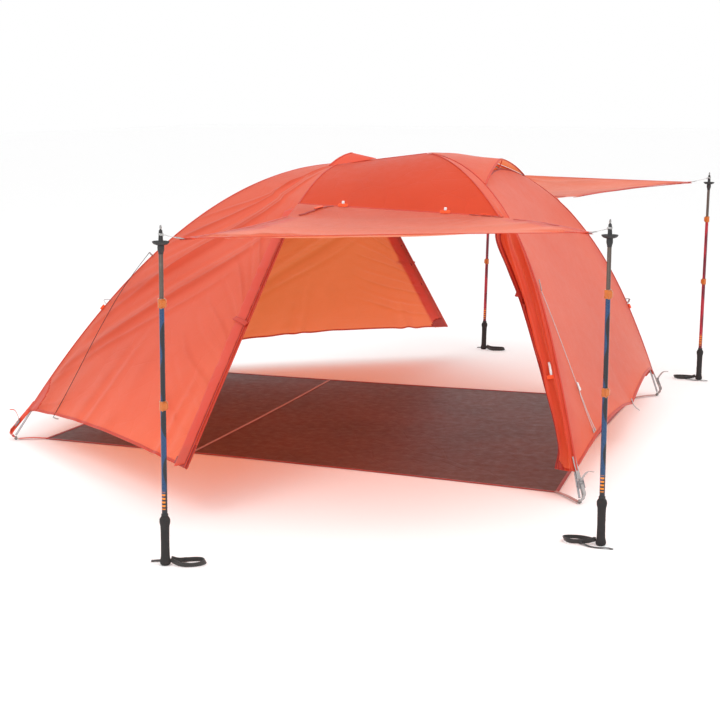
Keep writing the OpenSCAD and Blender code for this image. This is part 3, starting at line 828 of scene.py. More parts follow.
def foot_hood_grid(rows=30, cols=61, lift=0.0015):
    """A small vent hood from the ridge out to its rim, wide at both feet and raised in the middle."""
    k, v = grid(rows, cols)
    side = v * 2 - 1
    a = np.abs(side)
    rim = lerp(np.array([-0.012, 0, 1.227]), np.array([-0.078, -0.115, 1.1715]), a[..., None])
    rim[..., 2] += 0.010 * bow(a)
    rim[..., 1] = np.abs(rim[..., 1]) * np.sign(side)
    p = lerp(np.array([0.110, 0, 1.2025]), rim, lerp(0.03, 1.0, k)[..., None])
    p[..., 2] += lift
    return raised(p, 0.001 * mottled(p, 0.09, 72) * smooth(k / 0.1) * smooth((1 - a) / 0.1))


def head_hood_grid(rows=40, cols=81):
    """The big hood's sides lie on the head legs' seams, and a strut holds its middle up."""
    k, v = grid(rows, cols)
    a = np.abs(v * 2 - 1)
    ridge_line = lerp(HEAD_HUB + np.array([0, 0, 0.004]), np.array([0.680, 0, 1.212]), k[..., None])
    p = lerp(ridge_line, head_leg(lerp(0.02, VENT_AT + 0.004, k)) + np.array([0, 0, 0.0035]), a[..., None])
    p[..., 1] = np.abs(p[..., 1]) * np.sign(v - 0.5)
    p[..., 2] += 0.012 * bow(a) * k
    return raised(p, 0.0015 * mottled(p, 0.09, 71) * smooth(k / 0.1) * smooth((1 - a) / 0.1))


panels = {
    "head_panel": (head_panel, fly), "foot_panel": (foot_panel, fly),
    "head_hood": (head_hood_grid(), fly), "foot_hood": (foot_hood_grid(), fly),
}
# A hood is cut nearly as a triangle, so its flat size is its span and its depth
for name, (p, cloth) in panels.items():
    panel(f"{name}_cloth", "root", p, cloth, [name])

near_side = {"roof": (roof_grid(), roof_shaded_cloth, "stretched"), "foot_side": (foot_side_grid(), fly, "hung"),
             "head_side": (head_side_grid(), fly, "hung")}
for side, m in SIDES:
    for name, (p, cloth, held) in near_side.items():
        panel(f"{side}_{name}_cloth", "root", p, cloth, [f"{side}_{name}"], m)


# ---------------------------------------------------------------- doors, as awnings
def door_grid(left, right, outer_left, outer_right, seed, rows=120, cols=150):
    """A door held out as an awning, sagging between its seam and its two outer corners."""
    k, v = grid(rows, cols)
    inner = lerp(left, right, v[..., None])
    outer = lerp(outer_left, outer_right, v[..., None])
    p = lerp(inner, outer, k[..., None])
    p[..., 2] -= 0.030 * bow(v) * bow(k) + bow(k) * lerp(0.012, -0.008, v)
    p[..., 1] -= np.sign(outer_left[1]) * 0.034 * bow(v) * k * k
    # The door is sewn to the roof's lower seam, a little above the line that it turns about
    seam = lerp(left_arch(1.0), right_arch(1.0), v[..., None]) * np.array([1, -np.sign(outer_left[1]), 1])
    p += (seam - inner) * (1 - smooth(k / 0.14))[..., None]
    height = np.zeros(k.shape)
    y = -np.sign(outer_left[1])
    height += fan(p, outer_left, [0.15, 0.9 * y, 0], [0.9, 0.25 * y, 0], 12, 0.016, 1.1, seed)
    height += fan(p, outer_right, [-0.25, 0.9 * y, 0], [-0.9, 0.2 * y, 0], 9, 0.008, 0.9, seed + 1)
    height += fan(p, seam[0, 0], [0.95, -0.1 * y, 0], [0.5, -0.85 * y, 0], 9, 0.012, 0.8, seed + 2)
    height += fan(p, seam[0, -1], [-0.9, -0.2 * y, 0], [-0.3, -0.9 * y, 0], 6, 0.005, 0.6, seed + 3)
    height += 0.006 * noise_grid(p[..., 0] / 0.35, p[..., 1] / 0.14, seed + 4) * ease(k, 0.1)
    return raised(p, height * smooth(k / 0.05) * smooth((1 - k) / 0.03) * ease(v, 0.02))


def declare_door(side, p):
    o = panel(f"{side}_door_cloth", None, p, awning_shaded_cloth, [f"{side}_door"])
    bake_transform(o)


near_door = door_grid(HINGE_LEFT, HINGE_RIGHT, CORNERS[0], CORNERS[1], 81)
far_door = door_grid(HINGE_LEFT * MIRROR, HINGE_RIGHT * MIRROR, CORNERS[2], CORNERS[3], 91)
declare_door("near", near_door)
declare_door("far", far_door)


# ---------------------------------------------------------------- seams, hems, zips
def both(name, route, across, width, thick, material, lift=0.0006, crown=0.0):
    """The same strip on the near and the far side. across is a route beside it, which says how it lies."""
    for side, m in SIDES:
        r, a = route * m, (across - route) * m
        up = units(np.cross(np.gradient(r, axis=0), a))
        up *= np.sign(((r - CENTRE) * up).sum(1, keepdims=True))
        strap(f"{side}_{name}", "root", r + up * lift, a, width, thick, material, crown)


def leg_sides(route):
    """A line beside a leg's seam, level with it and square to it."""
    return route + units(np.cross(np.gradient(route, axis=0), route - CENTRE)) * 0.02


t = np.linspace(0, 1, 90)
head_line = head_leg(head_step(0.02, 0.962, t))
both("head_leg_seam", head_line, leg_sides(head_line), 0.008, 0.0022, seam_cloth, crown=0.6)
foot_line = foot_leg(lerp(0.01, 0.945, t))
both("foot_leg_seam", foot_line, leg_sides(foot_line), 0.008, 0.0022, seam_cloth, crown=0.6)
arch = left_arch(lerp(0.01, 1, t))
both("left_arch_seam", arch, leg_sides(arch), 0.008, 0.002, seam_cloth)
arch = right_arch(lerp(0.05, 1, t))
both("right_arch_seam", arch, leg_sides(arch), 0.008, 0.002, seam_cloth)
brow = lerp(left_arch(1.0), right_arch(1.0), t[:, None])
both("brow_seam", brow, brow + np.array([0, -0.02, -0.012]), 0.008, 0.0026, seam_cloth, lift=0.0010)

ridge = lerp(FOOT_HUB, HEAD_HUB, np.linspace(0, 1, 30)[:, None])
strap("ridge_seam", "root", ridge + np.array([0, 0, 0.0008]), [0, 1, 0], 0.010, 0.0022, seam_cloth)


def hem(name, p, row, inner, width, material, body="root", m=NEAR, thick=0.0026):
    """A turned and sewn edge along one row of a panel's grid, towards the row called inner."""
    step = units(p[inner] - p[row])
    strap(name, body, (p[row] + step * (width / 2 - 0.001)) * m, step * m, width, thick, material)


foot_side, head_side = near_side["foot_side"][0], near_side["head_side"][0]
hem("head_hem", head_panel, -1, -6, 0.012, awning_shaded_cloth)
hem("foot_hem", foot_panel, -1, -6, 0.012, awning_shaded_cloth)
hem("head_vent_hem", head_panel, 0, 6, 0.010, trim_cloth)
hem("head_hood_hem", panels["head_hood"][0], -1, -8, 0.010, seam_cloth)
hem("foot_hood_hem", panels["foot_hood"][0], -1, -6, 0.008, seam_cloth)
for side, m in SIDES:
    hem(f"{side}_foot_side_hem", foot_side, -1, -6, 0.012, awning_shaded_cloth, m=m)
    free = foot_side.transpose(1, 0, 2)[:, 48:]
    hem(f"{side}_foot_side_edge", free, -1, -5, 0.010, seam_cloth, m=m)
    hem(f"{side}_head_side_hem", head_side, -1, -5, 0.010, awning_shaded_cloth, m=m)
    free = head_side.transpose(1, 0, 2)[:, 50:]
    hem(f"{side}_head_side_edge", free, -1, -5, 0.008, trim_cloth, m=m)


def offset_line(p, back, lift, start):
    """A line on a panel that keeps a stated distance from its last column."""
    step = units(p[start:, -13] - p[start:, -1])
    return p[start:, -1] + step * back + grid_normals(p)[start:, -7] * lift, step


# Each door's zip tape stays on the panels' free edges, with a storm flap folded back beside it
for side, m in SIDES:
    for label, p, start, flap in (("foot_side", foot_side, 52, 0.050), ("head_side", head_side, 54, 0.022)):
        line, step = offset_line(p, 0.020, 0.0026, start)
        strap(f"{side}_{label}_zip_tape", "root", line * m, step * m, 0.011, 0.0012, trim_cloth)
        coil, _ = offset_line(p, 0.012, 0.0040, start)
        strap(f"{side}_{label}_zip_coil", "root", coil * m, step * m, 0.0045, 0.0024, seam_cloth, 0.8)
        if label == "foot_side":
            fold_line, step = offset_line(p, 0.052, 0.0040, start)
            strap(f"{side}_{label}_flap", "root", fold_line * m, step * m, flap, 0.0022, fly, 1.2)


# The short ties that hold the panels' gathered edges
for side, m in SIDES:
    for label, p, row, cols, lift, width, cloth in (
            ("head_side", head_side, 104, slice(40, 64), 0.010, 0.024, trim_cloth),
            ("foot_side", foot_side, 113, slice(124, 140), 0.008, 0.020, seam_cloth)):
        route = p[row, cols] + grid_normals(p)[row, cols] * lift
        strap(f"{side}_{label}_tie", "root", route * m, (p[row + 6, cols] - p[row, cols]) * m,
              width, 0.0022, cloth)


def patch(name, p, rows, cols, material, keep, m, lift=0.0016, sunk=0.0012):
    """A sewn reinforcement: the part of a panel's grid where keep is true, standing just off it."""
    n = grid_normals(p)[rows, cols]
    q = p[rows, cols] + n * lift
    high, wide = q.shape[:2]
    inside = keep(*grid(high, wide))
    faces = []
    for i in range(high - 1):
        for j in range(wide - 1):
            if inside[i:i + 2, j:j + 2].all():
                a = i * wide + j
                faces.append((a, a + 1, a + wide + 1, a + wide))
    edges = [(a, b) for f in faces for a, b in zip(f, f[1:] + f[:1])]
    shared = set(edges)
    count = high * wide
    shell = faces + [tuple(i + count for i in f[::-1]) for f in faces]
    shell += [(b, a, a + count, b + count) for a, b in edges if (b, a) not in shared]
    used = sorted({i for f in shell for i in f})
    index = {v: i for i, v in enumerate(used)}
    points = np.vstack([q.reshape(-1, 3), (q - n * (lift + sunk)).reshape(-1, 3)])[used]
    shell = [tuple(index[i] for i in (f if m is NEAR else f[::-1])) for f in shell]
    piece(name, "root", (points * m, shell, points[:, :2]), material)


def round_corner(a, b):
    return (a - 1) ** 2 + (b - 1) ** 2 < 0.92


for side, m in SIDES:
    patch(f"{side}_vestibule_patch", foot_side, slice(-12, None), slice(-11, None), trim_cloth,
          round_corner, m)
    patch(f"{side}_head_side_patch", head_side, slice(-11, None), slice(-30, None), trim_cloth,
          round_corner, m)
    patch(f"{side}_foot_corner_patch", foot_side, slice(-14, None), slice(0, 12), seam_cloth,
          lambda a, b: round_corner(a, 1 - b), m)


def bar(name, body, at, way, up, size, material):
    """A small moulded or sewn bar: at its middle, lying along way with up as its thickness."""
    way, up = unit(np.asarray(way, float)), np.asarray(up, float)
    up = unit(up - (up @ way) * way)
    return piece(name, body, block(at, size, [way, np.cross(up, way), up], 0.35), material)


# Toggles and their tabs on the roof's lower seam, and the zips' pulls
for side, m in SIDES:
    for i, share in enumerate((0.235, 0.745)):
        at = lerp(left_arch(1.0), right_arch(1.0), share)
        bar(f"{side}_brow_tab_{i}", "root", (at + [0, -0.014, 0.0075]) * m, [1, 0, 0],
            np.array([0, -1, 0.6]) * m, (0.042, 0.015, 0.004), bright_web)
        bar(f"{side}_brow_toggle_{i}", "root", (at + [0, -0.010, 0.0185]) * m, np.array([0, 0.3, 1]),
            np.array([0, -1, 0.2]) * m, (0.013, 0.011, 0.008), white_plastic)


# Doors' edges, and the short ends of their zips that run on to the roof's corners
for side, p in (("near", near_door), ("far", far_door)):
    body = f"{side}_door"
    n = grid_normals(p)
    for i, (k0, v0, k1, v1) in enumerate(((13, 7, 1, 27), (7, 147, 1, 128))):
        steps = np.linspace(0, 1, 12)
        where = np.round(lerp(k0, k1, steps)).astype(int), np.round(lerp(v0, v1, steps)).astype(int)
        line, up = p[where] + n[where] * 0.003, n[where]
        strap(f"{side}_zip_end_{i}", body, line, np.cross(np.gradient(line, axis=0), up), 0.014, 0.0016,
              trim_cloth)
        bar(f"{side}_zip_pull_{i}", body, line[6] + up[6] * 0.005, line[8] - line[4], up[6],
            (0.046, 0.012, 0.004), bright_web)
    hem(f"{side}_awning_hem", p, -1, -6, 0.012, awning_shaded_cloth, body)
    sideways = p.transpose(1, 0, 2)
    for label, line in (("left", sideways[::-1, 16:]), ("right", sideways[:, 16:])):
        hem(f"{side}_awning_{label}_hem", line, -1, -5, 0.010, seam_cloth, body)
        edge, step = line[-1], units(line[-12] - line[-1])
        down = np.array([0, 0, -0.0035])
        taper = np.minimum(1, np.linspace(1.6, 0.12, len(edge)))[:, None]
        strap(f"{side}_awning_{label}_zip", body, edge + step * 0.018 * taper + down, step,
              0.012, 0.0014, trim_cloth)
        strap(f"{side}_awning_{label}_flap", body, edge + step * 0.040 * taper + down * 1.4, step,
              0.026, 0.0016, fly)
    for i in (0, 1):
        k = i if side == "near" else i + 2
        tip = CORNERS[k]
        way = unit(pole_at(k, CORD_Z) - tip)
        inward = unit(p[60, 75] - tip)
        side_way = unit(np.cross(way, [0, 0, 1]))
        # The hook: a sewn triangular tab with a loop through its end
        hook = joined(f"{POLES[k]}_hook_tab", body, [
            swept([tip + way * a for a in (-0.012, 0, 0.010, 0.020)], side_way, 0.008, 0.0014),
            swept(curve_points([tip + way * a + side_way * b for a, b in (
                (0.014, 0.009), (0.026, 0.004), (0.026, -0.004), (0.014, -0.009))], 4),
                [0, 0, 1], 0.0016, 0.0012)], grey_web)
        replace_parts(hook, f"{side}_hooks")
        tape = np.array([tip + inward * 0.10, tip + inward * 0.05, tip + way * 0.002]) + [0, 0, 0.002]
        strap(f"{POLES[k]}_corner_tape", body, tape, side_way, 0.014, 0.0016, orange_web)


# The awning cords' loops round the poles, above the baskets, and their knots
for k, name in enumerate(POLES):
    centre = pole_at(k, CORD_Z)
    way = unit(CORNERS[k] - centre)
    a = np.linspace(0, 2 * np.pi, 40)
    rings = []
    for lift in (-0.0018, 0.0016):
        ring = np.stack([0.0078 * np.cos(a), 0.0078 * np.sin(a), lift + 0.0012 * np.sin(2 * a)], 1)
        rings.append(tube_mesh(ring + centre + [0, 0, POLE_RAISED], CORD_D / 2))
    knot = centre + way * 0.0115
    turns = [knot + way * out + [0, 0, up] for out, up in (
        (0, 0.004), (0.004, 0), (0, -0.003), (-0.002, 0.001), (0.003, 0.004))]
    tail = [knot, knot + way * 0.012 + [0.003, 0, 0.001], knot + way * 0.0205]
    rings += [tube_mesh(curve_points(turns, 5), 0.0016), tube_mesh(curve_points(tail, 5), CORD_D / 2)]
    joined(f"{name}_cord_loop", f"{name}_lower", rings, white_cord)

# ---------------------------------------------------------------- guylines' fittings
tension = guy_at(0.62)
n_out = np.array([0.93, 0.0, 0.36])
guy_way = unit(guy_at(0.66) - guy_at(0.58))
guy_axes = [guy_way, np.cross(n_out, guy_way), n_out]
joined("head_guy_tensioner", "root", [
    block(tension + n_out * 0.004, (0.030, 0.016, 0.004), guy_axes, 0.3),
    block(tension + n_out * 0.004 + guy_way * 0.012, (0.012, 0.026, 0.004), guy_axes, 0.3)],
    white_plastic)
second = guy_at(np.linspace(0.63, 1.0, 20))
second[:, 1] -= 0.028 * np.linspace(0, 1, 20) ** 0.8
piece("head_guy_second_strand", "root", tube_mesh(second, CORD_D / 2), white_cord)
loop = guy_at(0.0) + [[-0.010, 0.004, 0.040], [-0.002, 0, 0.016], [0.002, 0, -0.004]]
strap("head_guy_out_tab", "root", curve_points(loop, 5), [0.3, -0.9, 0.1], 0.014, 0.003, grey_web)
for i, at in enumerate((guy_at(1.0), second[-1])):
    bar(f"head_guy_anchor_{i}", "root", at + [0.0, 0, -0.003], [0.3, 0.2, -1], [1, 0, 0.4],
        (0.014, 0.010, 0.004), grey_web)

# Guy-out loops with their bright tabs. The near head leg has the guyline in place of one
for side, m, leg, share, way, end in (("near", NEAR, foot_leg, 0.705, [-0.6, -0.4, 0.3], "foot"),
                                      ("far", MIRROR, foot_leg, 0.705, [-0.6, -0.4, 0.3], "foot"),
                                      ("far", MIRROR, head_leg, 0.80, [0.5, -0.5, 0.35], "head")):
    at = leg(share) * m
    out = unit(np.array(way) * m)
    down = unit(leg(share + 0.02) * m - at)
    route = curve_points([at + out * a + down * b for a, b in (
        (-0.004, -0.012), (0.012, -0.008), (0.022, 0), (0.012, 0.010), (-0.004, 0.014))], 5)
    strap(f"{side}_{end}_guy_out_loop", "root", route, np.cross(out, down), 0.012, 0.002, grey_web)
    bar(f"{side}_{end}_guy_out_tab", "root", at + out * 0.006 + down * 0.034, down, out,
        (0.024, 0.012, 0.010), bright_web)

for name, sewn, end_at in (("upper", foot_leg(0.575), FOOT_GUY[0]),
                           ("lower", FOOT_GUY[-1] + [0.010, 0.020, -0.012], FOOT_GUY[-1])):
    route = curve_points([sewn, lerp(sewn, end_at, 0.6) + [0, -0.003, 0], end_at], 5)
    strap(f"foot_guy_{name}_tab", "root", route, [0.6, -0.6, 0.4], 0.012, 0.0024, grey_web)

# White toggle with its orange tab that ties the head side's edge to the leg
for side, m in SIDES:
    at = head_side[122, 16] + grid_normals(head_side)[122, 16] * 0.008
    down = unit(head_side[130, 16] - head_side[122, 16])
    route = curve_points([at - down * 0.030, at + [0.004, -0.012, -0.004], at + down * 0.022], 6)
    strap(f"{side}_head_toggle", "root", route * m, [0.9, -0.1, 0.3], 0.009, 0.006,
          white_plastic, 0.4)
    bar(f"{side}_head_toggle_tab", "root", (at + down * 0.030) * m, np.array([0.9, 0.1, 0.2]) * m,
        np.array([0.2, -1, 0.3]) * m, (0.034, 0.014, 0.004), bright_web)

# ---------------------------------------------------------------- groundsheet
u, v = grid(120, 100)
near_edge = -lerp(FLOOR_FOOT_W, FLOOR_HEAD_W, u[:, 0]) / 2 + 0.022 * bow(u[:, 0])
end_in = 0.022 * bow(v)
sheet = curve3(lerp(-FLOOR_L / 2 + end_in, FLOOR_L / 2 - end_in, u), near_edge[:, None] * (1 - 2 * v), 0.0022)
ripple = 0.5 + 0.5 * noise_grid(sheet[..., 0] * 5 + 20, sheet[..., 1] * 26 + 30, 101)
ripple = ripple * (0.5 + 0.5 * noise_grid(sheet[..., 0] * 2 + 5, sheet[..., 1] * 5 + 9, 102))
for row, out, seed in ((0, 1, 103), (-1, -1, 104)):
    ripple += 0.25 * fan(sheet, sheet[row, 0], [out, 0.9, 0], [out, 0.1, 0], 6, 1.0, 0.8, seed)
sheet = raised(sheet, 0.0015 * np.clip(ripple, 0, 1.4) * ease(v, 0.03) * ease(u, 0.03))
cloth = panel("groundsheet_cloth", "root", sheet, ground_cloth, ["groundsheet"])
edge_loop = np.vstack([sheet[0], sheet[1:, -1], sheet[-1, ::-1][1:], sheet[::-1, 0][1:]])
strap("groundsheet_hem", "root", edge_loop * [0.9975, 0.9965, 1] + [0, 0, 0.0005],
      np.cross(np.gradient(edge_loop, axis=0), [0, 0, 1]), 0.014, 0.0018, trim_cloth)
strap("groundsheet_seam", "root", sheet[37, 1:-1] + [0, 0, 0.0010], [1, 0, 0], 0.014, 0.0014,
      pink_web)


# ---------------------------------------------------------------- corner webbing and buckles
def under(p):
    """Where a pole tip sits, just inside the fly's seam."""
    return p + 0.013 * unit(CENTRE - p)


def leg_end(height, h, power, drop):
    """The share of a leg of height h at which it has come down to that height."""
    return (1 - (height / h) ** (1 / drop)) ** (1 / power)


HEAD_TIP = under(head_leg(leg_end(0.019, HEAD_H, LEG_POWER, LEG_DROP)))
FOOT_TIP = under(foot_leg(leg_end(0.019, FOOT_H, 2.0, 1.0)))


FLOOR_HEAD = np.array([FLOOR_L / 2 - 0.01, -FLOOR_HEAD_W / 2 + 0.01, 0.0035])
FLOOR_FOOT = np.array([-FLOOR_L / 2 + 0.01, -FLOOR_FOOT_W / 2 + 0.01, 0.0035])


def corner(side, m, end):
    """The straps and the ladder-lock buckle between a pole tip, the fly's hem and the groundsheet."""
    head = end == "head"
    tip = (HEAD_TIP if head else FOOT_TIP) * [1, 1, 0]
    sheet_at = FLOOR_HEAD if head else FLOOR_FOOT
    hem_at = head_leg(HEAD_HEM - 0.004) if head else foot_leg(0.941)
    low = np.array([1.264, -1.007, 0.030]) if head else np.array([-1.279, -0.872, 0.032])
    name = f"{side}_{end}"
    level = unit(tip - sheet_at * [1, 1, 0])
    sideways = np.cross(level, [0, 0, 1])
    floor_route = [sheet_at, lerp(sheet_at, tip, 0.5) + [0, 0, 0.006], tip - level * 0.010 + [0, 0, 0.006]]
    strap(f"{name}_floor_strap", "root", curve_points(floor_route) * m, sideways * m, 0.016, 0.0014,
          pink_web if head else orange_web)
    ring = [tip + [0.0075 * math.cos(a), 0.0075 * math.sin(a), 0.006] for a in np.linspace(0, 2 * math.pi, 25)]
    piece(f"{name}_tip_ring", "root", tube_mesh(np.array(ring) * m, 0.0014), steel)
    down = unit(low - hem_at)
    wide = unit(np.cross(down, unit(np.array([low[0], low[1], 0]))))
    out = unit(np.cross(wide, down))
    if out @ (low - CENTRE) < 0:
        out = -out

    def beside(share, off):
        return lerp(hem_at, low, share) + out * off

    web = grey_web if head else orange_web
    front = [hem_at - down * 0.035, hem_at, beside(0.5, 0.002), low, tip + out * 0.004 + [0, 0, 0.008]]
    strap(f"{name}_fly_strap", "root", curve_points(front) * m, (wide if head else wide + 0.8 * out) * m,
          0.016 if head else 0.022, 0.0016, web)
    back = [beside(0.45, 0.006), beside(0.8, 0.010), low + out * 0.008 - down * 0.004,
            tip + out * 0.010 + [0, 0, 0.012]]
    strap(f"{name}_fly_strap_back", "root", curve_points(back) * m, wide * m, 0.014, 0.0014, web)
    tail = [beside(0.5, 0.010), beside(0.42, 0.022), beside(0.36, 0.044) - wide * 0.008 + [0, 0, 0.008],
            beside(0.40, 0.066) - wide * 0.020 + [0, 0, 0.006]]
    strap(f"{name}_strap_tail", "root", curve_points(tail) * m, wide * m, 0.012, 0.0014, web)
    at = beside(0.62, 0.006)
    axes = [down, wide, out]
    tilted = [unit(down * 0.8 - out * 0.6), wide, unit(out * 0.8 + down * 0.6)]
    bars = [block(at + wide * s * 0.011, (0.030, 0.004, 0.006), axes, 0.3) for s in (-1, 1)]
    bars += [block(at + down * d + out * o, (0.004, 0.024, 0.005), axes, 0.3)
             for d, o in ((-0.013, 0.0), (-0.002, 0.002), (0.012, 0.0))]
    bars.append(block(at - down * 0.016 + out * 0.004, (0.010, 0.020, 0.003), tilted, 0.3))
    parts = [(p * m, faces if m is NEAR else [f[::-1] for f in faces], t) for p, faces, t in bars]
    return joined(f"{name}_buckle", "root", parts, grey_plastic)


for side, m in SIDES:
    for end in ("head", "foot"):
        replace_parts(corner(side, m, end), "corner_buckles")
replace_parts(bpy.data.objects["near_head_fly_strap"], "corner_webbing")

# A tab with its short tail at the middle of each end's hem
for name, p, s in (("head", head_panel, 1), ("foot", foot_panel, -1)):
    at = p[-1, p.shape[1] // 2]
    route = at + [[-s * 0.006, 0, 0.022], [s * 0.002, 0, 0.0], [s * 0.012, 0.004, -0.016],
                  [s * 0.030, 0.010, -0.030]]
    strap(f"{name}_hem_tab", "root", curve_points(route, 6), [0, 1, 0], 0.010, 0.002, grey_web)
tag = head_panel[-1, 34] + [[0, 0, 0.004], [0.004, -0.002, -0.012], [0.004, -0.004, -0.030]]
strap("care_tag", "root", tag, [0.2, 1, 0], 0.022, 0.0014, grey_web)


# ---------------------------------------------------------------- trekking poles
def pole_piece(k, name, body, data, material, replaced=None, turn=0.0):
    points, faces, uvs = data
    o = piece(f"{POLES[k]}_{name}", body, (on_pole(k, points, turn), faces, uvs), material)
    if replaced:
        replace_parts(o, replaced)


def grip_shape(a, z):
    """Finger swells down the front, a flat at the back, and a slight lean of the section."""
    front = np.cos(a)
    swell = 0.05 * np.cos((z - 0.022) / 0.118 * 2 * np.pi * 3.4)
    swell = swell * smooth((z - 0.02) / 0.02) * smooth((0.138 - z) / 0.02)
    return 1 + swell * np.maximum(front, 0) - 0.05 * np.maximum(-front, 0) ** 2


# Turned outlines, as radius and height up the pole
GRIP = [[0.001, 0.0], [0.0125, 0.0], [0.0155, 0.0018], [0.0172, 0.005], [0.0178, 0.010], [0.0170, 0.016],
        [0.0152, 0.022]]
GRIP += [[0.0146 - 0.0008 * math.sin((z - 0.022) / 0.11 * math.pi), z] for z in np.linspace(0.028, 0.128, 26)]
GRIP += [[0.0158, 0.134], [0.0170, 0.139], [0.0174, 0.145], [0.0172, 0.150], [0.0160, 0.154], [0.0140, 0.157],
         [0.0122, 0.160], [0.0110, 0.162], [0.0102, 0.163], [0.0096, 0.163], [0.0096, 0.006], [0.0005, 0.006]]
COLLAR = [[0.0094, 0.1630], [0.0112, 0.1632], [0.0114, 0.1660], [0.0110, 0.1690], [0.0094, 0.1692]]
BASKET = [[0.0075, 1.0002], [0.0078, 1.003], [0.0088, 1.008], [0.0104, 1.013], [0.0108, 1.020],
          [0.0104, 1.026], [0.0112, 1.029]]
BASKET_DISC = [[0.0100, 1.0290], [0.0160, 1.0292], [0.0215, 1.0310], [0.0252, 1.0345], [0.0268, 1.0378],
               [0.0272, 1.0392], [0.0266, 1.0398], [0.0246, 1.0372], [0.0208, 1.0340], [0.0160, 1.0326],
               [0.0100, 1.0330]]
POINT = [[0.0105, 1.029], [0.0108, 1.035], [0.0092, 1.039], [0.0074, 1.043], [0.0070, 1.050], [0.0062, 1.062],
         [0.0056, 1.072], [0.0050, 1.0745], [0.0034, 1.0752]]
TIP = [[0.0032, 1.0745], [0.0031, 1.0800], [0.0035, 1.0812], [0.0035, 1.0840], [0.0030, 1.0855],
       [0.0026, 1.0890], [0.0018, 1.0900], [0.0014, 1.0890], [0.0002, 1.0886]]
SCREW = [[0.0002, -0.0165], [0.0016, -0.0165], [0.0020, -0.0160], [0.0020, -0.0146], [0.0002, -0.0146]]
LOOP = [[0.0175, 0.000, 0.018], [0.030, -0.008, 0.012], [0.052, -0.024, 0.0085], [0.082, -0.030, 0.0080],
        [0.112, -0.020, 0.0085], [0.128, 0.000, 0.0095], [0.120, 0.018, 0.0100], [0.098, 0.026, 0.0090],
        [0.066, 0.020, 0.0095], [0.040, 0.010, 0.0120], [0.0185, 0.003, 0.020]]
TAIL = [[0.060, 0.020, 0.0065], [0.030, 0.034, 0.0035], [0.000, 0.036, 0.0030], [-0.028, 0.030, 0.0045],
        [-0.050, 0.030, 0.0030]]
GRIP_TURN = [-70, -70, 110, 110]
STRAP_TURN = [20, 175, -5, 180]
for k, name in enumerate(POLES):
    pole_piece(k, "grip_foam", "root", lathe(GRIP, 64, grip_shape), foam, "pole_grips", GRIP_TURN[k])
    pole_piece(k, "grip_collar", "root", lathe(COLLAR, 40, ring=True), black_plastic)
    body = f"{name}_lower"
    pole_piece(k, "ferrule", body, lathe(BASKET, 48), black_plastic, f"{name}_basket")
    disc = lathe(BASKET_DISC, 72, lambda a, z: 1 + 0.02 * np.cos(8 * a) * (z > 1.031))
    pole_piece(k, "basket_disc", body, disc, black_plastic)
    ribs = []
    for a in np.arange(8) * math.pi / 4:
        c, s = math.cos(a), math.sin(a)
        rib_axes = [[c, s, 0.12], [-s, c, 0], [-0.12 * c, -0.12 * s, 1]]
        p, faces, uvs = block([0.0150 * c, 0.0150 * s, 1.0338], (0.013, 0.0022, 0.0040), rib_axes, 0.3)
        ribs.append((on_pole(k, p), faces, uvs))
    joined(f"{name}_basket_ribs", body, ribs, black_plastic)
    pole_piece(k, "point_cone", body, lathe(POINT, 40), black_plastic)
    pole_piece(k, "point_tip", body, lathe(TIP, 32), steel)
    # Wrist strap: one loop of webbing on edge beside the grip, its tail lying on the ground
    a = math.radians(STRAP_TURN[k])
    c, s = math.cos(a), math.sin(a)
    turned = np.array([[c, s, 0], [-s, c, 0], [0, 0, 1]])
    loop = curve_points(LOOP) @ turned + POLE_FOOT[k] + [0, 0, 0.001]
    twist = np.linspace(0, 1, len(loop))
    lean_way = np.stack([0.35 * np.sin(twist * 9), 0.35 * np.cos(twist * 7), np.ones(len(loop))], 1)
    o = strap(f"{name}_wrist_strap", "root", loop, lean_way, 0.015, 0.0020, black_web)
    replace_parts(o, "pole_straps")
    tail = curve_points(TAIL) @ turned + POLE_FOOT[k]
    strap(f"{name}_strap_tail", "root", tail, np.array([[0.1, 0.9, 0.15]]) @ turned, 0.012, 0.0016,
          black_web)
    at = np.array([0.062, 0.021, 0.0100]) @ turned + POLE_FOOT[k]
    way = np.array([1.0, 0.25, 0]) @ turned
    bar(f"{name}_strap_buckle", "root", at, way, [0, 0, 1], (0.014, 0.0075, 0.0150), black_plastic)

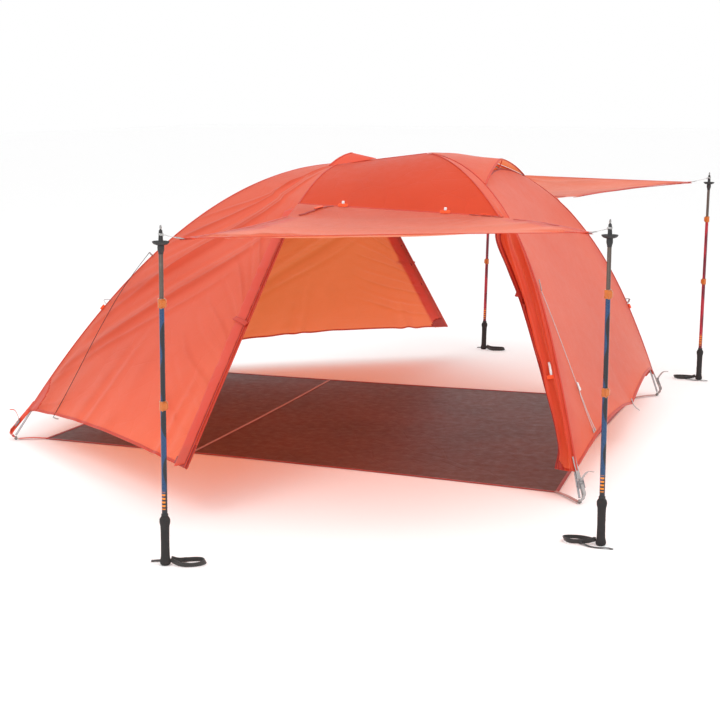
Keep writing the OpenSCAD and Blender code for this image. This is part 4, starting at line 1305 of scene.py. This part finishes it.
# Screws that dress both ends of each clamp
for k, name in enumerate(POLES):
    for z, body, label in ((0.523, "root", "upper"), (0.848, f"{name}_middle", "lower")):
        points, faces, uvs = lathe(SCREW, 20)
        ends = [(points + [0.0172, 0, z], faces, uvs),
                (points * [1, 1, -1] + [0.0172, 0, z], [f[::-1] for f in faces], uvs)]
        parts = [(on_pole(k, p, GRIP_TURN[k]), f, t) for p, f, t in ends]
        joined(f"{name}_{label}_clamp_screws", body, parts, steel)

# ---------------------------------------------------------------- materials of the CAD's own nodes
looks = {"ridge_pole": pole_alloy, "pole_legs": pole_alloy, "brow_pole": pole_alloy, "pole_hubs": hub_plastic,
         "pole_tips": steel, "head_strut": orange_web, "upper_clamps": clamp_plastic}
for k, name in enumerate(POLES):
    looks.update({f"{name}_upper": shafts[k], f"{name}_middle": shafts[k], f"{name}_lower": bare_tube})
    looks.update({f"{name}_{part}": clamp_plastic for part in ("clamp", "lever_1", "lever_2")})
for name, look in looks.items():
    data = bpy.data.objects[name].data
    data.materials.clear()
    data.materials.append(look)

# ---------------------------------------------------------------- stage, light
floor = mesh_object("stage_floor", [(-30, -30, 0), (30, -30, 0), (30, 60, 0), (-30, 60, 0)], [(0, 1, 2, 3)],
                    moulded("floor_paint", (0.99, 0.99, 0.99, 1), (0.98, 0.98, 0.98, 1), rough=0.8,
                            grain=40.0))
world = bpy.data.worlds.new("studio")
bpy.context.scene.world = world
world.use_nodes = True
world.node_tree.nodes["Background"].inputs[0].default_value = (1, 1, 1, 1)
world.node_tree.nodes["Background"].inputs[1].default_value = 1.0
bpy.context.scene.view_settings.view_transform = "Standard"


def lamp(name, at, to, size, power):
    data = bpy.data.lights.new(name, "AREA")
    data.shape = "SQUARE"
    data.size = size
    data.energy = power
    o = bpy.data.objects.new(name, data)
    o.location = at
    o.rotation_euler = (Vector(to) - Vector(at)).to_track_quat("-Z", "Y").to_euler()
    bpy.context.scene.collection.objects.link(o)


lamp("key", (-2.5, -3.5, 5.5), (0, 0, 0.6), 3.0, 62)
lamp("top", (3.0, -1.5, 5.0), (0.8, 0, 0.8), 3.0, 90)
lamp("front", (0.5, -7.5, 2.2), (0, 0, 0.6), 4.0, 58)
